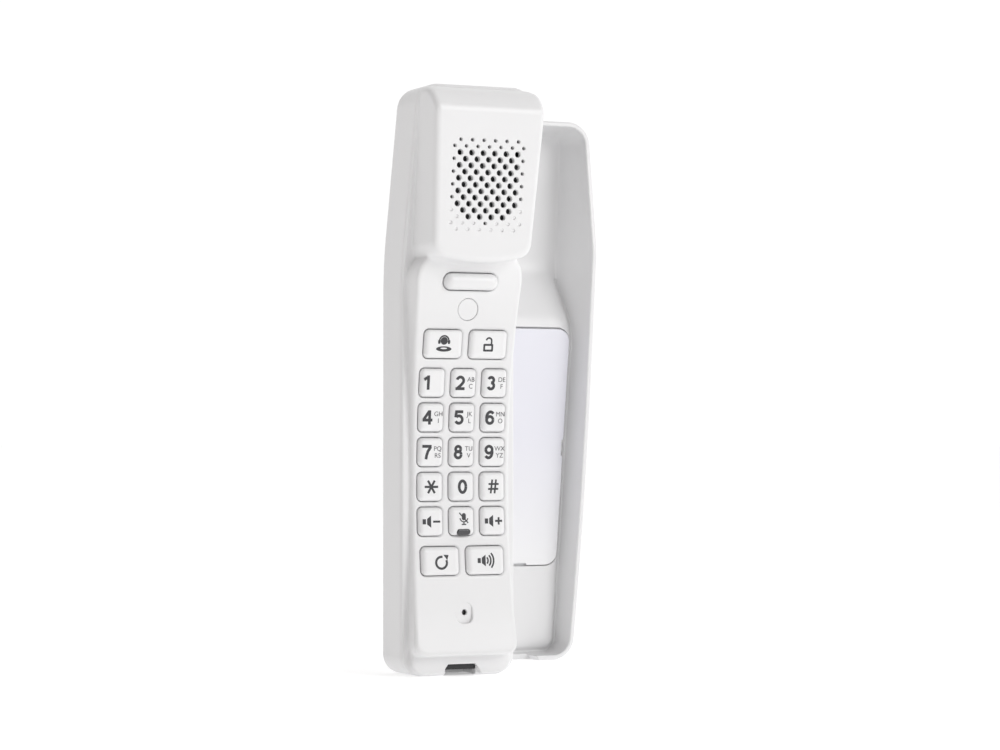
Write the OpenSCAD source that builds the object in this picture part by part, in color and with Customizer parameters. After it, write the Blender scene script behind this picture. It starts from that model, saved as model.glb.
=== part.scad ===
// Slimline push-button wall phone: a corded handset and the wall base that it hangs in.
// Both stand upright on their flat lower ends, the handset in front and to the left.
// Units are millimetres. +Z is up and the fronts of both units face -Y.

/* [Placement] */
// Sideways distance between the centre lines of the handset and the base
stand_gap_x = 47; // [46:1:80]
// Distance from the handset's parting plane back to the base's wall face
stand_gap_y = 60; // [58:1:90]

/* [Handset] */
// Height of the handset
handset_h = 205.5; // [204:0.5:207]
// Width of the handset across its rim
handset_w = 43; // [42.6:0.2:44]
// Depth of the rear shell behind the parting plane
handset_d = 17; // [17:0.5:19]
// Height where the earpiece end starts to lean forward
bend_z = 140; // [138:1:142]
// Forward lean of the earpiece end
bend_deg = 12.9; // [12:0.1:13.5]
// Width of the raised panel at its waist
panel_w = 37.2; // [37.2:0.1:38]
// Radius of the hollow curve along the raised panel's face
face_r = 300; // [290:5:310]
// Height of the lowest point of that hollow curve
face_z = 68; // [66:1:70]
// Rise of the panel's face over the parting plane at its lowest point
face_rise = 3.5; // [3.5:0.1:4]
// Thickness of the handset's mouldings
wall = 2; // [1.8:0.1:2.2]

/* [Earpiece] */
// Lowest edge of the earpiece block
ear_z = 143.8; // [143.5:0.1:144.5]
// Upper edge of the earpiece block's flat face
ear_top_z = 196; // [195:0.5:197]
// Width of the block at its upper edge
ear_top_w = 41.6; // [41:0.2:42]
// Width of the block at its lower edge
ear_low_w = 37.2; // [36.8:0.2:38]
// Rise of the block's face over the parting plane at its upper edge
ear_front = 29.4; // [29:0.1:30]
// Lean of the block's face
ear_deg = 8.1; // [7.5:0.1:8.5]
// Spacing of the sound holes in a row
grille_pitch = 4.35; // [4.3:0.05:4.5]

/* [Keys] */
// Width of a number key
key_w = 9.2; // [9:0.1:9.6]
// Height of every key
key_h = 9.9; // [9.6:0.1:10]
// Width of the keys in the first and last row
wide_key_w = 14.2; // [14:0.1:14.6]
// Distance between the columns of number keys
key_pitch_x = 11.9; // [11.8:0.1:12]
// Distance between the rows of number keys
key_pitch_z = 12.1; // [12:0.1:12.2]
// How far a key stands proud of the panel
key_proud = 1; // [0.8:0.1:1.2]
// Clear gap round each key
key_gap = 0.2; // [0.15:0.05:0.3]

/* [Base] */
// Height of the base
base_h = 200.5; // [199:0.5:202]
// Width of the base
base_w = 43; // [42.6:0.2:44]
// Depth of the base at its foot
base_foot_d = 13.5; // [13.5:0.1:14]
// Forward lean of the base's rim
lean_deg = 7.75; // [7.7:0.05:7.8]
// How far the rim's lower half bulges in front of that straight lean
rim_bulge = 3.2; // [2.8:0.1:3.4]
// Height of the most forward point of the rim
rim_peak_z = 152; // [150:1:154]
// Backward slope of the rim above that point
rim_back_deg = 8.5; // [8:0.5:9]
// Depth of the handset's bed behind the rim
bed_depth = 8.5; // [8.5:0.1:8.8]
// Distance from the earpiece well's floor to the wall face
well_floor_d = 11; // [11:0.1:12]
// Distance between the two keyholes
keyhole_pitch = 83; // [80:1:85]
// Length of the double-ended keyhole slots
keyhole_len = 18; // [16:1:20]
// Height of the card window
window_h = 89; // [85:1:90]
// Width of the card window
window_w = 33; // [32:0.5:33.5]

/* [Hidden] */
$fn = 48;
eps = 0.01;
over = 4;
handset_x = -stand_gap_x / 2;
base_x = stand_gap_x / 2;
corner_r = 9;
bend_r = 90;
bend_slope = tan(bend_deg);
handset_top_y = -(handset_h - bend_z) * bend_slope;
panel_r = 1500;
panel_low_z = 7.2;
panel_top_z = 150;
ledge_w = 38;
ledge_rise = 4.5;
ledge_low_z = 0.4;
panel_wall = 1.2;
rim_plate = 1.6;
ear_slope = tan(ear_deg);
handset_reach = max([for (p = ear_side(0, -rim_plate / 2)) -p[0]]);
handset_y = handset_reach - (stand_gap_y + handset_reach) / 2;
base_y = handset_y + stand_gap_y;
ear_axis_z = 170.1;
lean_slope = tan(lean_deg);
bulge_z = 60;
rim_back_slope = tan(rim_back_deg);
peak_d = base_foot_d + rim_peak_z * lean_slope;
top_d = peak_d - (base_h - rim_peak_z) * rim_back_slope;
base_wall = 1.8;
cover_t = 2.5;
bed_wall = 2;
window_z = 79.5;
window_r = 5;
seat_d = 1.7;
pocket_w = 32;
pocket_d = 12;
pocket_low_z = 88;
pocket_top_z = 113;
keyhole_r = 2.2;
keyhole_z = 119;
groove_x = -7.6;
speaker_z = 183;
speaker_r = 10.4;
speaker_hole_pitch = 3.4;
post_r = 3;
post_len = 6.6;
post_bore_r = 1.25;
post_x = 14.5;
post_z = [32, 188];
board_post_x = 13;
board_post_z = 138;
network_x = -6.4;
network_y = -15.4;
network_w = 16;
network_d = 12.8;
network_h = 14.5;
network_plug_w = 11.8;
network_plug_d = 8.4;
network_front = 3.4;
cord_jack_x = 8.6;
cord_jack_y = -12.6;
cord_jack_d = 10;
cord_jack_front = 1.2;
board_y = -6.2;
main_board_low_z = 114;
main_board_h = 30;
board_t = 1.6;
wide_x = 8.6;
row_z = [for (i = [0:4]) 102.3 - i * key_pitch_z];
first_row_z = 115.8;
last_row_z = 40.1;
key_back_y = 0;
key_flange = 0.55;
key_flange_t = 1;
pip_y = 1.2;
membrane_y = 2;
membrane_t = 1;
membrane_low_z = 33;
membrane_h = 90;
pad_r = 3.4;
keypad_board_y = membrane_y + membrane_t + 0.05;
keypad_board_low_z = 31;
keypad_board_h = 112;
hook_z = 137.5;
hook_w = 20.2;
hook_h = 5.8;
hook_proud = 2.2;
hook_seat_y = -8.4;
hook_switch_y = -1.6;
hook_stem = 3.2;
lens_w = 5;
lens_h = 2.1;
lens_drop = 3.8;
lens_x = 0.3;
ballast_z = 84;
screw_z = 127.9;
cap_r = 3.8;
mic_z = 22.2;
mic_r = 3.2;
mic_boot_r = 5;
receiver_r = 14.2;
gasket_y = 3.65;
gasket_t = 1.3;
jack_w = 11.2;
jack_low_z = 2.1;
jack_h = 12;
jack_y = -2.8;
jack_d = 9.4;
jack_front = 1.4;
plug_w = 7.7;
plug_d = 6.7;
contact_pitch = 1.02;
contact_w = 0.4;
contact_t = 0.35;
shell_white = [0.93, 0.93, 0.94];
legend_white = [0.96, 0.96, 0.97];
inner_grey = [0.55, 0.56, 0.58];

KEYS = [
    ["key_operator", -wide_x, first_row_z, wide_key_w], ["key_unlock", wide_x, first_row_z, wide_key_w],
    ["key_1", -key_pitch_x, row_z[0], key_w], ["key_2", 0, row_z[0], key_w],
    ["key_3", key_pitch_x, row_z[0], key_w],
    ["key_4", -key_pitch_x, row_z[1], key_w], ["key_5", 0, row_z[1], key_w],
    ["key_6", key_pitch_x, row_z[1], key_w],
    ["key_7", -key_pitch_x, row_z[2], key_w], ["key_8", 0, row_z[2], key_w],
    ["key_9", key_pitch_x, row_z[2], key_w],
    ["key_star", -key_pitch_x, row_z[3], key_w], ["key_0", 0, row_z[3], key_w],
    ["key_hash", key_pitch_x, row_z[3], key_w],
    ["key_volume_down", -key_pitch_x, row_z[4], key_w], ["key_mute", 0, row_z[4], key_w],
    ["key_volume_up", key_pitch_x, row_z[4], key_w],
    ["key_redial", -wide_x, last_row_z, wide_key_w], ["key_speaker", wide_x, last_row_z, wide_key_w]
];

// ---------- outlines ----------

function unit(v) = v / norm(v);

// Points of a round corner of radius r at b, between the sides that run to a and to c
function corner(a, b, c, r, steps = 6) =
    r <= 0 ? [b] :
    let (u = unit(a - b), w = unit(c - b), half = acos(u * w) / 2,
         centre = b + unit(u + w) * r / sin(half),
         first = b + u * r / tan(half), last = b + w * r / tan(half))
    [for (i = [0:steps]) let (p = unit(first + (last - first) * i / steps - centre)) centre + p * r];

// Closed outline from [x, y, corner radius] entries
function outline(v) = let (n = len(v), p = [for (e = v) [e[0], e[1]]])
    [for (i = [0:n - 1]) each corner(p[(i + n - 1) % n], p[i], p[(i + 1) % n], v[i][2])];

// Prism of a side view, whose plane is [y, z], centred on x = 0
module side_prism(width) {
    translate([-width / 2, 0, 0]) rotate([90, 0, 90]) linear_extrude(width) children();
}

// Prism of a front view, whose plane is [x, z], from y0 back to y1
module front_prism(y0, y1) {
    translate([0, y1, 0]) rotate([90, 0, 0]) linear_extrude(y1 - y0) children();
}

// Rectangle with round corners, centred
module round_rect(w, h, r) {
    square([w - 2 * r, h], center = true);
    square([w, h - 2 * r], center = true);
    for (x = [-1, 1], z = [-1, 1]) translate([x * (w / 2 - r), z * (h / 2 - r)]) circle(r, $fn = 32);
}

module place_handset() { translate([handset_x, handset_y, 0]) children(); }
module place_base() { translate([base_x, base_y, 0]) children(); }

// ---------- handset ----------

function face_y(z) = -face_rise - face_r + sqrt(face_r * face_r - (z - face_z) * (z - face_z));
function rim_y(z) = min(0, (bend_z - z) * bend_slope);
function ear_y(z) = -ear_front + (ear_top_z - z) * ear_slope;
function panel_half(z) = panel_w / 2 + panel_r - sqrt(panel_r * panel_r - (z - face_z) * (z - face_z));

// Side view of the rear shell, drawn in by t, its front edge moved forward by open
function rear_side(t, open) = outline([
    [-open, t, 0],
    [handset_d - t, t, 3],
    [handset_d - t, bend_z + 5, bend_r],
    [handset_top_y + handset_d + 1 - t, handset_h - t, 6],
    [handset_top_y - open, handset_h - t, 0],
    [-open, bend_z, bend_r]
]);

module handset_outline(t) {
    polygon(outline([
        [-handset_w / 2 + t, t, corner_r - t], [handset_w / 2 - t, t, corner_r - t],
        [handset_w / 2 - t, handset_h - t, corner_r - t], [-handset_w / 2 + t, handset_h - t, corner_r - t]
    ]));
}

module cord_notch(y0, y1) {
    front_prism(y0, y1) polygon([[-8, -1], [8, -1], [5.2, 4], [-5.2, 4]]);
}

module handset_rear_shell() {
    color(shell_white) place_handset() difference() {
        union() {
            difference() {
                intersection() {
                    side_prism(handset_w) polygon(rear_side(0, 0));
                    front_prism(-20, 20) handset_outline(0);
                }
                intersection() {
                    side_prism(handset_w) polygon(rear_side(wall, 2));
                    front_prism(-24, 20) handset_outline(wall);
                }
            }
            translate([0, handset_d - wall + eps, screw_z]) rotate([90, 0, 0]) cylinder(h = 10, r = 3.6);
        }
        translate([0, handset_d - wall - 1, screw_z]) rotate([90, 0, 0]) cylinder(h = 12, r = 1.55);
        translate([-5.2, -1, -1]) cube([10.4, 6.8, 4]);
    }
}

// Raised panel between the parting plane and the hollow face,
// drawn in by t behind the face and by s at its sides
module panel_block(t, s, back) {
    low = panel_low_z + s;
    high = panel_top_z;
    difference() {
        front_prism(-30, back) polygon(concat(
            corner([-5, low], [-panel_half(low) + s, low], [-panel_half(30) + s, 30], 5),
            [for (z = [20:10:high]) [-panel_half(z) + s, z]],
            [for (z = [high:-10:20]) [panel_half(z) - s, z]],
            corner([panel_half(30) - s, 30], [panel_half(low) - s, low], [5, low], 5)
        ));
        translate([-40, -face_rise - face_r, face_z]) rotate([0, 90, 0])
            cylinder(h = 80, r = face_r + t, $fn = 720);
    }
}

// Side view of the earpiece block, drawn in by t on every side but the back
function ear_side(t, back) =
    let (low = ear_z + t, high = ear_top_z - t * 0.4, roof = handset_h - 0.8 - t)
    outline([
        [rim_y(low) + back, low, 0], [ear_y(low) + t, low, 2], [ear_y(high) + t, high, 3],
        [handset_top_y - rim_plate + t, roof, 1], [rim_y(roof) + back, roof, 0]
    ]);

// Earpiece block, drawn in by t on every side but the back
module ear_block(t, back) {
    low = ear_z + t;
    high = ear_top_z - t * 0.4;
    roof = handset_h - 0.8 - t;
    intersection() {
        front_prism(-40, 20) polygon(outline([
            [0, low, 30], [ear_low_w / 2 - t, low + 2.7, 4], [ear_top_w / 2 - t, high - 6, 20],
            [handset_w / 2 - 0.6 - t, roof, 9 - t], [-handset_w / 2 + 0.6 + t, roof, 9 - t],
            [-ear_top_w / 2 + t, high - 6, 20], [-ear_low_w / 2 + t, low + 2.7, 4]
        ]));
        side_prism(handset_w) polygon(ear_side(t, back));
    }
}

module grille_holes() {
    for (row = [0:14]) {
        six = row % 2 == 0;
        count = six ? 6 : 7;
        z = ear_axis_z + (7 - row) * grille_pitch / 2;
        for (i = [0:count - 1]) {
            x = (i - (count - 1) / 2) * grille_pitch;
            end = i == 0 || i == count - 1;
            full = row > 1 && row < 13 && !(end && !six) && !(end && row == 12);
            small = row < 2 || (end && !six && row < 11);
            if (full || small)
                translate([x, ear_y(z) - 2, z]) rotate([-90, 0, 0])
                    cylinder(h = 6, r = full ? 0.8 : 0.5, $fn = 16);
        }
    }
}

module handset_front_shell() {
    color(shell_white) place_handset() difference() {
        union() {
            intersection() {
                side_prism(handset_w) polygon(outline([
                    [0, 0, 0], [0, bend_z, bend_r], [handset_top_y, handset_h, 0],
                    [handset_top_y - rim_plate, handset_h, 0], [-rim_plate, bend_z, bend_r], [-rim_plate, 0, 0]
                ]));
                front_prism(-24, 20) handset_outline(0);
            }
            intersection() {
                panel_block(0, 0, 0);
                side_prism(handset_w) polygon([
                    [-40, 0], [-rim_plate / 2, 0], [-rim_plate / 2, bend_z],
                    [rim_y(panel_top_z + 1) - rim_plate / 2, panel_top_z + 1], [-40, panel_top_z + 1]
                ]);
            }
            ear_block(0, -rim_plate / 2);
            front_prism(-ledge_rise, 0) polygon(outline([
                [-ledge_w / 2, ledge_low_z, 5], [ledge_w / 2, ledge_low_z, 5],
                [ledge_w / 2, panel_low_z + 6, 0], [-ledge_w / 2, panel_low_z + 6, 0]
            ]));
        }
        difference() {
            panel_block(wall, panel_wall, 1);
            translate([0, 5, screw_z]) rotate([90, 0, 0]) cylinder(h = 20, r = 4.9);
        }
        ear_block(wall, 3);
        translate([-16, -ledge_rise + 1.5, wall]) cube([32, 8, 10]);
        for (k = KEYS) front_prism(-20, 1) translate([k[1], k[2]])
            round_rect(k[3] + 2 * key_gap, key_h + 2 * key_gap, 1.9);
        front_prism(-20, -6) translate([0, hook_z]) round_rect(hook_w + 0.6, hook_h + 0.6, 3.1);
        translate([0, -5, screw_z]) rotate([90, 0, 0]) cylinder(h = 12, r = cap_r + 0.05);
        translate([0, 2, screw_z]) rotate([90, 0, 0]) cylinder(h = 12, r = 1.6);
        translate([0, 1, mic_z]) rotate([90, 0, 0]) cylinder(h = 12, r = 1, $fn = 24);
        grille_holes();
        cord_notch(-8, -ledge_rise + 1.6);
        translate([-5.2, -ledge_rise + 1.5, -1]) cube([10.4, 8, 4]);
    }
}

module receiver_capsule() {
    color(inner_grey) place_handset() translate([0, ear_y(ear_axis_z), ear_axis_z])
        rotate([90 + ear_deg, 0, 0]) {
            translate([0, 0, -8.2]) cylinder(h = 4.5, r = receiver_r);
            translate([0, 0, -11]) cylinder(h = 2.8 + eps, r = 8);
        }
}

module receiver_gasket() {
    color([0.2, 0.2, 0.22]) place_handset() translate([0, ear_y(ear_axis_z), ear_axis_z])
        rotate([90 + ear_deg, 0, 0]) translate([0, 0, -gasket_y]) difference() {
            cylinder(h = gasket_t, r = receiver_r);
            translate([0, 0, -1]) cylinder(h = gasket_t + 2, r = receiver_r - 2.8);
        }
}

// One key: a cap with round corners on two short catches that hold it behind the panel
module key(k) {
    color(legend_white) place_handset() difference() {
        union() {
            front_prism(-20, key_back_y) translate([k[1], k[2]]) round_rect(k[3], key_h, 1.65);
            translate([k[1] - k[3] / 2 + 2, key_back_y - key_flange_t, k[2] - key_h / 2 - key_flange])
                cube([k[3] - 4, key_flange_t, key_h + 2 * key_flange]);
        }
        translate([-40, -face_rise - face_r, face_z]) rotate([0, 90, 0])
            cylinder(h = 80, r = face_r - key_proud, $fn = 720);
        if (k[0] == "key_mute") front_prism(-20, face_y(k[2]) - 0.2) translate([lens_x, k[2] - lens_drop])
            round_rect(lens_w + 0.1, lens_h + 0.1, 1);
    }
}

module mute_lens() {
    color([0.25, 0.26, 0.28]) place_handset()
        front_prism(face_y(row_z[4] - lens_drop) - key_proud + 0.1, face_y(row_z[4]) - 0.25)
            translate([lens_x, row_z[4] - lens_drop]) round_rect(lens_w, lens_h, 0.95);
}

module keypad_membrane() {
    color([0.75, 0.76, 0.78]) place_handset() {
        translate([-17.2, membrane_y, membrane_low_z]) cube([34.4, membrane_t, membrane_h]);
        for (k = KEYS) translate([k[1], membrane_y + eps, k[2]]) rotate([90, 0, 0])
            cylinder(h = membrane_y - pip_y, r = pad_r);
    }
}

module keypad_board() {
    color([0.12, 0.38, 0.22]) place_handset() difference() {
        translate([-17.4, keypad_board_y, keypad_board_low_z]) cube([34.8, board_t, keypad_board_h]);
        translate([0, 8, screw_z]) rotate([90, 0, 0]) cylinder(h = 12, r = post_r + 2.2);
    }
}

module hook_button() {
    color(legend_white) place_handset() {
        front_prism(face_y(hook_z) - hook_proud, hook_seat_y) translate([0, hook_z])
            round_rect(hook_w, hook_h, hook_h / 2 - 0.05);
        translate([-hook_w / 2 - 0.9, hook_seat_y - eps, hook_z - hook_h / 2 - 0.6])
            cube([hook_w + 1.8, 1.1, hook_h + 1.2]);
        translate([-hook_stem / 2, hook_seat_y + 1, hook_z - hook_stem / 2]) cube([hook_stem, 2.6, hook_stem]);
    }
}

module hook_switch() {
    color([0.15, 0.15, 0.16]) place_handset() {
        translate([-4, hook_switch_y, hook_z - 3.2]) cube([8, 4.6, 6.4]);
        translate([-1, hook_switch_y - 0.9, hook_z - 1]) cube([2, 1, 2]);
    }
}

module microphone() {
    color([0.7, 0.7, 0.72]) place_handset() translate([0, 0, mic_z]) rotate([90, 0, 0])
        cylinder(h = 4, r = mic_r);
}

module microphone_boot() {
    color([0.12, 0.12, 0.13]) place_handset() translate([0, 1.9, mic_z]) rotate([90, 0, 0]) difference() {
        cylinder(h = 6, r = mic_boot_r);
        translate([0, 0, 1.2]) cylinder(h = 6, r = mic_r + 0.05);
    }
}

// Modular jack that opens downwards: body size, plug opening size and its offset from the front
module jack_body(w, d, h, open_w, open_d, open_y) {
    difference() {
        translate([-w / 2, 0, 0]) cube([w, d, h]);
        translate([-open_w / 2, open_y, -1]) cube([open_w, open_d, h - 0.8]);
    }
}

// A row of bent contact springs inside a jack, with their feet on the jack's back wall
module jack_contacts(count, open_back_y, z0, z1) {
    for (i = [0:count - 1])
        translate([(i - (count - 1) / 2) * contact_pitch - contact_w / 2, open_back_y - contact_t - eps, z0])
            cube([contact_w, contact_t, z1 - z0]);
}

module handset_jack() {
    color([0.16, 0.16, 0.17]) place_handset() translate([0, jack_y, jack_low_z])
        jack_body(jack_w, jack_d, jack_h, plug_w, plug_d, jack_front);
}

module handset_jack_contacts() {
    color([0.85, 0.68, 0.3]) place_handset()
        jack_contacts(4, jack_y + jack_front + plug_d, jack_low_z + 3, jack_low_z + jack_h - 2);
}

module ballast_weight() {
    color([0.5, 0.5, 0.52]) place_handset() translate([0, 0, ballast_z])
        front_prism(handset_d - 8, handset_d - 2.2) round_rect(27, 60, 3);
}

module handset_screw() {
    color([0.6, 0.6, 0.62]) place_handset() translate([0, -5, screw_z]) rotate([90, 0, 0]) {
        difference() {
            cylinder(h = 1.9, r = 2.9);
            translate([-0.4, -2, 0.9]) cube([0.8, 4, 2]);
            translate([-2, -0.4, 0.9]) cube([4, 0.8, 2]);
        }
        translate([0, 0, -17]) cylinder(h = 17 + eps, r = 1.5);
    }
}

module screw_cap() {
    color(shell_white) place_handset() difference() {
        translate([0, -7.2, screw_z]) rotate([90, 0, 0]) cylinder(h = 5, r = cap_r);
        translate([-40, -face_rise - face_r, face_z]) rotate([0, 90, 0])
            cylinder(h = 80, r = face_r + 0.1, $fn = 720);
    }
}

// ---------- base ----------

function bed_y(z) = bed_depth - base_foot_d - z * lean_slope;

module base_outline(t) {
    polygon(outline([
        [-base_w / 2 + t, t, corner_r - t], [base_w / 2 - t, t, corner_r - t],
        [base_w / 2 - t, base_h - t, corner_r - t], [-base_w / 2 + t, base_h - t, corner_r - t]
    ]));
}

// Outer side view of the base, from its wall face to its rim
function base_side() = outline([
    [0, 0, 0], [-base_foot_d, 0, 0], [-(base_foot_d + bulge_z * lean_slope + rim_bulge), bulge_z, 1200],
    [-peak_d, rim_peak_z, 25], [-top_d, base_h, 1.5], [0, base_h, 5]
]);

// Side view of the handset's bed and earpiece well, open at the front
function bed_side() = outline([
    [-60, base_wall, 0], [bed_y(base_wall), base_wall, 0], [bed_y(124), 124, 14],
    [-well_floor_d, 147, 10], [-well_floor_d, base_h - base_wall, 2], [-60, base_h - base_wall, 0]
]);

// Side view of the hollow behind the bed
function behind_side() = outline([
    [over, base_wall, 0], [over, base_h - base_wall, 0], [-well_floor_d + bed_wall, base_h - base_wall, 0],
    [-well_floor_d + bed_wall, 144, 10], [bed_y(124) + 3.4, 122, 14],
    [-3.05, base_wall, 0]
]);

module on_bed(z) { translate([0, bed_y(z), z]) rotate([lean_deg, 0, 0]) children(); }

module base_front_shell() {
    color(shell_white) place_base() difference() {
        union() {
            difference() {
                intersection() {
                    side_prism(base_w) polygon(base_side());
                    front_prism(-60, -cover_t) base_outline(0);
                }
                intersection() {
                    side_prism(base_w) polygon(bed_side());
                    front_prism(-60, 0) base_outline(base_wall);
                }
                intersection() {
                    side_prism(base_w) polygon(behind_side());
                    front_prism(-40, 1) base_outline(base_wall);
                }
            }
            for (x = [-1, 1], z = post_z)
                translate([x * post_x, -cover_t - 0.1, z]) rotate([90, 0, 0])
                    cylinder(h = post_len, r = post_r);
        }
        for (x = [-1, 1], z = post_z)
            translate([x * post_x, 0, z]) rotate([90, 0, 0]) cylinder(h = post_len + 0.2, r = post_bore_r);
        on_bed(window_z) front_prism(-2, seat_d) round_rect(window_w + 0.4, window_h + 0.4, window_r);
        front_prism(-base_foot_d - over, -base_foot_d + 7.5)
            polygon([[-7.5, -1], [7.5, -1], [4.6, 4.2], [-4.6, 4.2]]);
    }
}

// Pocket in the back of the base that the cables plug into from below
module pocket(t) {
    translate([-pocket_w / 2 - t, -pocket_d - t, pocket_low_z - t])
        cube([pocket_w + 2 * t, pocket_d + t + 1, pocket_top_z - pocket_low_z + t]);
}

module keyhole(z) {
    translate([0, over - 1, z]) rotate([90, 0, 0]) {
        for (s = [-1, 1]) translate([0, s * (keyhole_len / 2 - keyhole_r), 0]) cylinder(h = 12, r = keyhole_r);
        translate([-keyhole_r, -keyhole_len / 2 + keyhole_r, 0])
            cube([2 * keyhole_r, keyhole_len - 2 * keyhole_r, 12]);
        cylinder(h = 12, r = 2 * keyhole_r);
    }
}

module base_rear_cover() {
    color(shell_white) place_base() difference() {
        union() {
            front_prism(-cover_t, 0) base_outline(0);
            intersection() { pocket(1.2); translate([-30, -30, 0]) cube([60, 30, base_h]); }
            for (x = [-1, 1]) translate([x * board_post_x, -cover_t + eps, board_post_z]) rotate([90, 0, 0])
                cylinder(h = -board_y - board_t - cover_t, r = 2.6);
        }
        pocket(0);
        translate([groove_x - 2.5, -1.3, -1]) cube([5, 3, pocket_low_z + 2]);
        for (s = [-1, 1]) keyhole(keyhole_z + s * keyhole_pitch / 2);
        for (x = [-1, 1], z = post_z) translate([x * post_x, 0, z]) rotate([90, 0, 0]) {
            translate([0, 0, -1]) cylinder(h = 5, r = 1.5);
            translate([0, 0, -1]) cylinder(h = 2.6, r = 2.8);
        }
        for (x = [-1, 1]) translate([x * board_post_x, -cover_t + 1, board_post_z]) rotate([90, 0, 0])
            cylinder(h = 12, r = 0.95);
        for (row = [-2:2], col = [-2:2])
            translate([col * speaker_hole_pitch, over, speaker_z + row * speaker_hole_pitch])
            rotate([90, 0, 0]) cylinder(h = 12, r = 0.9, $fn = 20);
    }
}

module window_cover() {
    color([0.85, 0.88, 0.95, 0.5]) place_base() on_bed(window_z) difference() {
        front_prism(0, 1.2) round_rect(window_w, window_h, window_r - 0.2);
        translate([window_w / 2 - 0.8, -1, -3]) cube([2, 3, 6]);
        translate([-4, -1, -window_h / 2 - 1]) cube([8, 3, 1.8]);
    }
}

module card_insert() {
    color([0.97, 0.97, 0.98]) place_base() on_bed(window_z)
        front_prism(1.3, 1.6) round_rect(window_w - 0.6, window_h - 0.6, window_r - 0.5);
}

module main_board() {
    color([0.12, 0.38, 0.22]) place_base() difference() {
        translate([-17.5, board_y, main_board_low_z]) cube([35, board_t, main_board_h]);
        for (x = [-1, 1]) translate([x * board_post_x, 0, board_post_z]) rotate([90, 0, 0])
            cylinder(h = 12, r = 1.2);
        translate([network_x - network_w / 2 - 0.2, -20, main_board_low_z - over])
            cube([network_w + 0.4, 30, pocket_top_z + network_h + 1.5 - main_board_low_z + over]);
        translate([cord_jack_x - jack_w / 2 - 0.2, -20, main_board_low_z - over])
            cube([jack_w + 0.4, 30, pocket_top_z + jack_h + 2 - main_board_low_z + over]);
    }
}

module main_board_screws() {
    color([0.6, 0.6, 0.62]) place_base()
        for (x = [-1, 1]) translate([x * board_post_x, board_y, board_post_z]) rotate([90, 0, 0]) {
        difference() {
            translate([0, 0, 0.02]) cylinder(h = 1.2, r = 2);
            translate([-0.3, -1.4, 0.6]) cube([0.6, 2.8, 2]);
            translate([-1.4, -0.3, 0.6]) cube([2.8, 0.6, 2]);
        }
        translate([0, 0, -3.8]) cylinder(h = 3.9, r = 0.9);
    }
}

module network_jack() {
    color([0.16, 0.16, 0.17]) place_base() translate([network_x, network_y, pocket_top_z + 0.1])
        jack_body(network_w, network_d, network_h, network_plug_w, network_plug_d, network_front);
}

module network_jack_contacts() {
    color([0.85, 0.68, 0.3]) place_base() translate([network_x, 0, 0])
        jack_contacts(8, network_y + network_front + network_plug_d, pocket_top_z + 3, pocket_top_z + 12);
}

module cord_jack() {
    color([0.16, 0.16, 0.17]) place_base() translate([cord_jack_x, cord_jack_y, pocket_top_z + 0.1])
        jack_body(jack_w, cord_jack_d, jack_h, plug_w, plug_d, cord_jack_front);
}

module cord_jack_contacts() {
    color([0.85, 0.68, 0.3]) place_base() translate([cord_jack_x, 0, 0])
        jack_contacts(4, cord_jack_y + cord_jack_front + plug_d, pocket_top_z + 3, pocket_top_z + 10);
}

module ringer_speaker() {
    color([0.3, 0.3, 0.32]) place_base() translate([0, -cover_t - 0.3, speaker_z]) rotate([90, 0, 0]) {
        cylinder(h = 2.6, r = speaker_r);
        cylinder(h = 5, r = speaker_r - 4.4);
    }
}

module cover_screws() {
    color([0.6, 0.6, 0.62]) place_base() for (x = [-1, 1], z = post_z)
        translate([x * post_x, -0.1, z]) rotate([90, 0, 0]) {
            difference() {
                cylinder(h = 1.5, r = 2.6);
                translate([-0.4, -1.8, -1]) cube([0.8, 3.6, 1.7]);
                translate([-1.8, -0.4, -1]) cube([3.6, 0.8, 1.7]);
            }
            cylinder(h = 6.5, r = 1.2);
        }
}

handset_rear_shell();
handset_front_shell();
receiver_capsule();
receiver_gasket();
keypad_membrane();
keypad_board();
hook_button();
hook_switch();
microphone();
microphone_boot();
handset_jack();
handset_jack_contacts();
ballast_weight();
handset_screw();
screw_cap();
mute_lens();
for (k = KEYS) key(k);
base_front_shell();
base_rear_cover();
window_cover();
card_insert();
main_board();
main_board_screws();
network_jack();
network_jack_contacts();
cord_jack();
cord_jack_contacts();
ringer_speaker();
cover_screws();
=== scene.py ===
"""Looks of a slimline wall phone: a corded handset with a keypad, and the wall base that holds it.

The mouldings are described as solids by their distance functions, in millimetres, and meshed from those.
Each unit has local axes: x across from its centre line, y back from its parting plane (handset) or from
its wall face (base), and z up from the surface that it stands on.
"""

from __future__ import annotations

import logging
import math
from dataclasses import dataclass
from enum import Enum
from typing import Callable, Sequence

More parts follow.
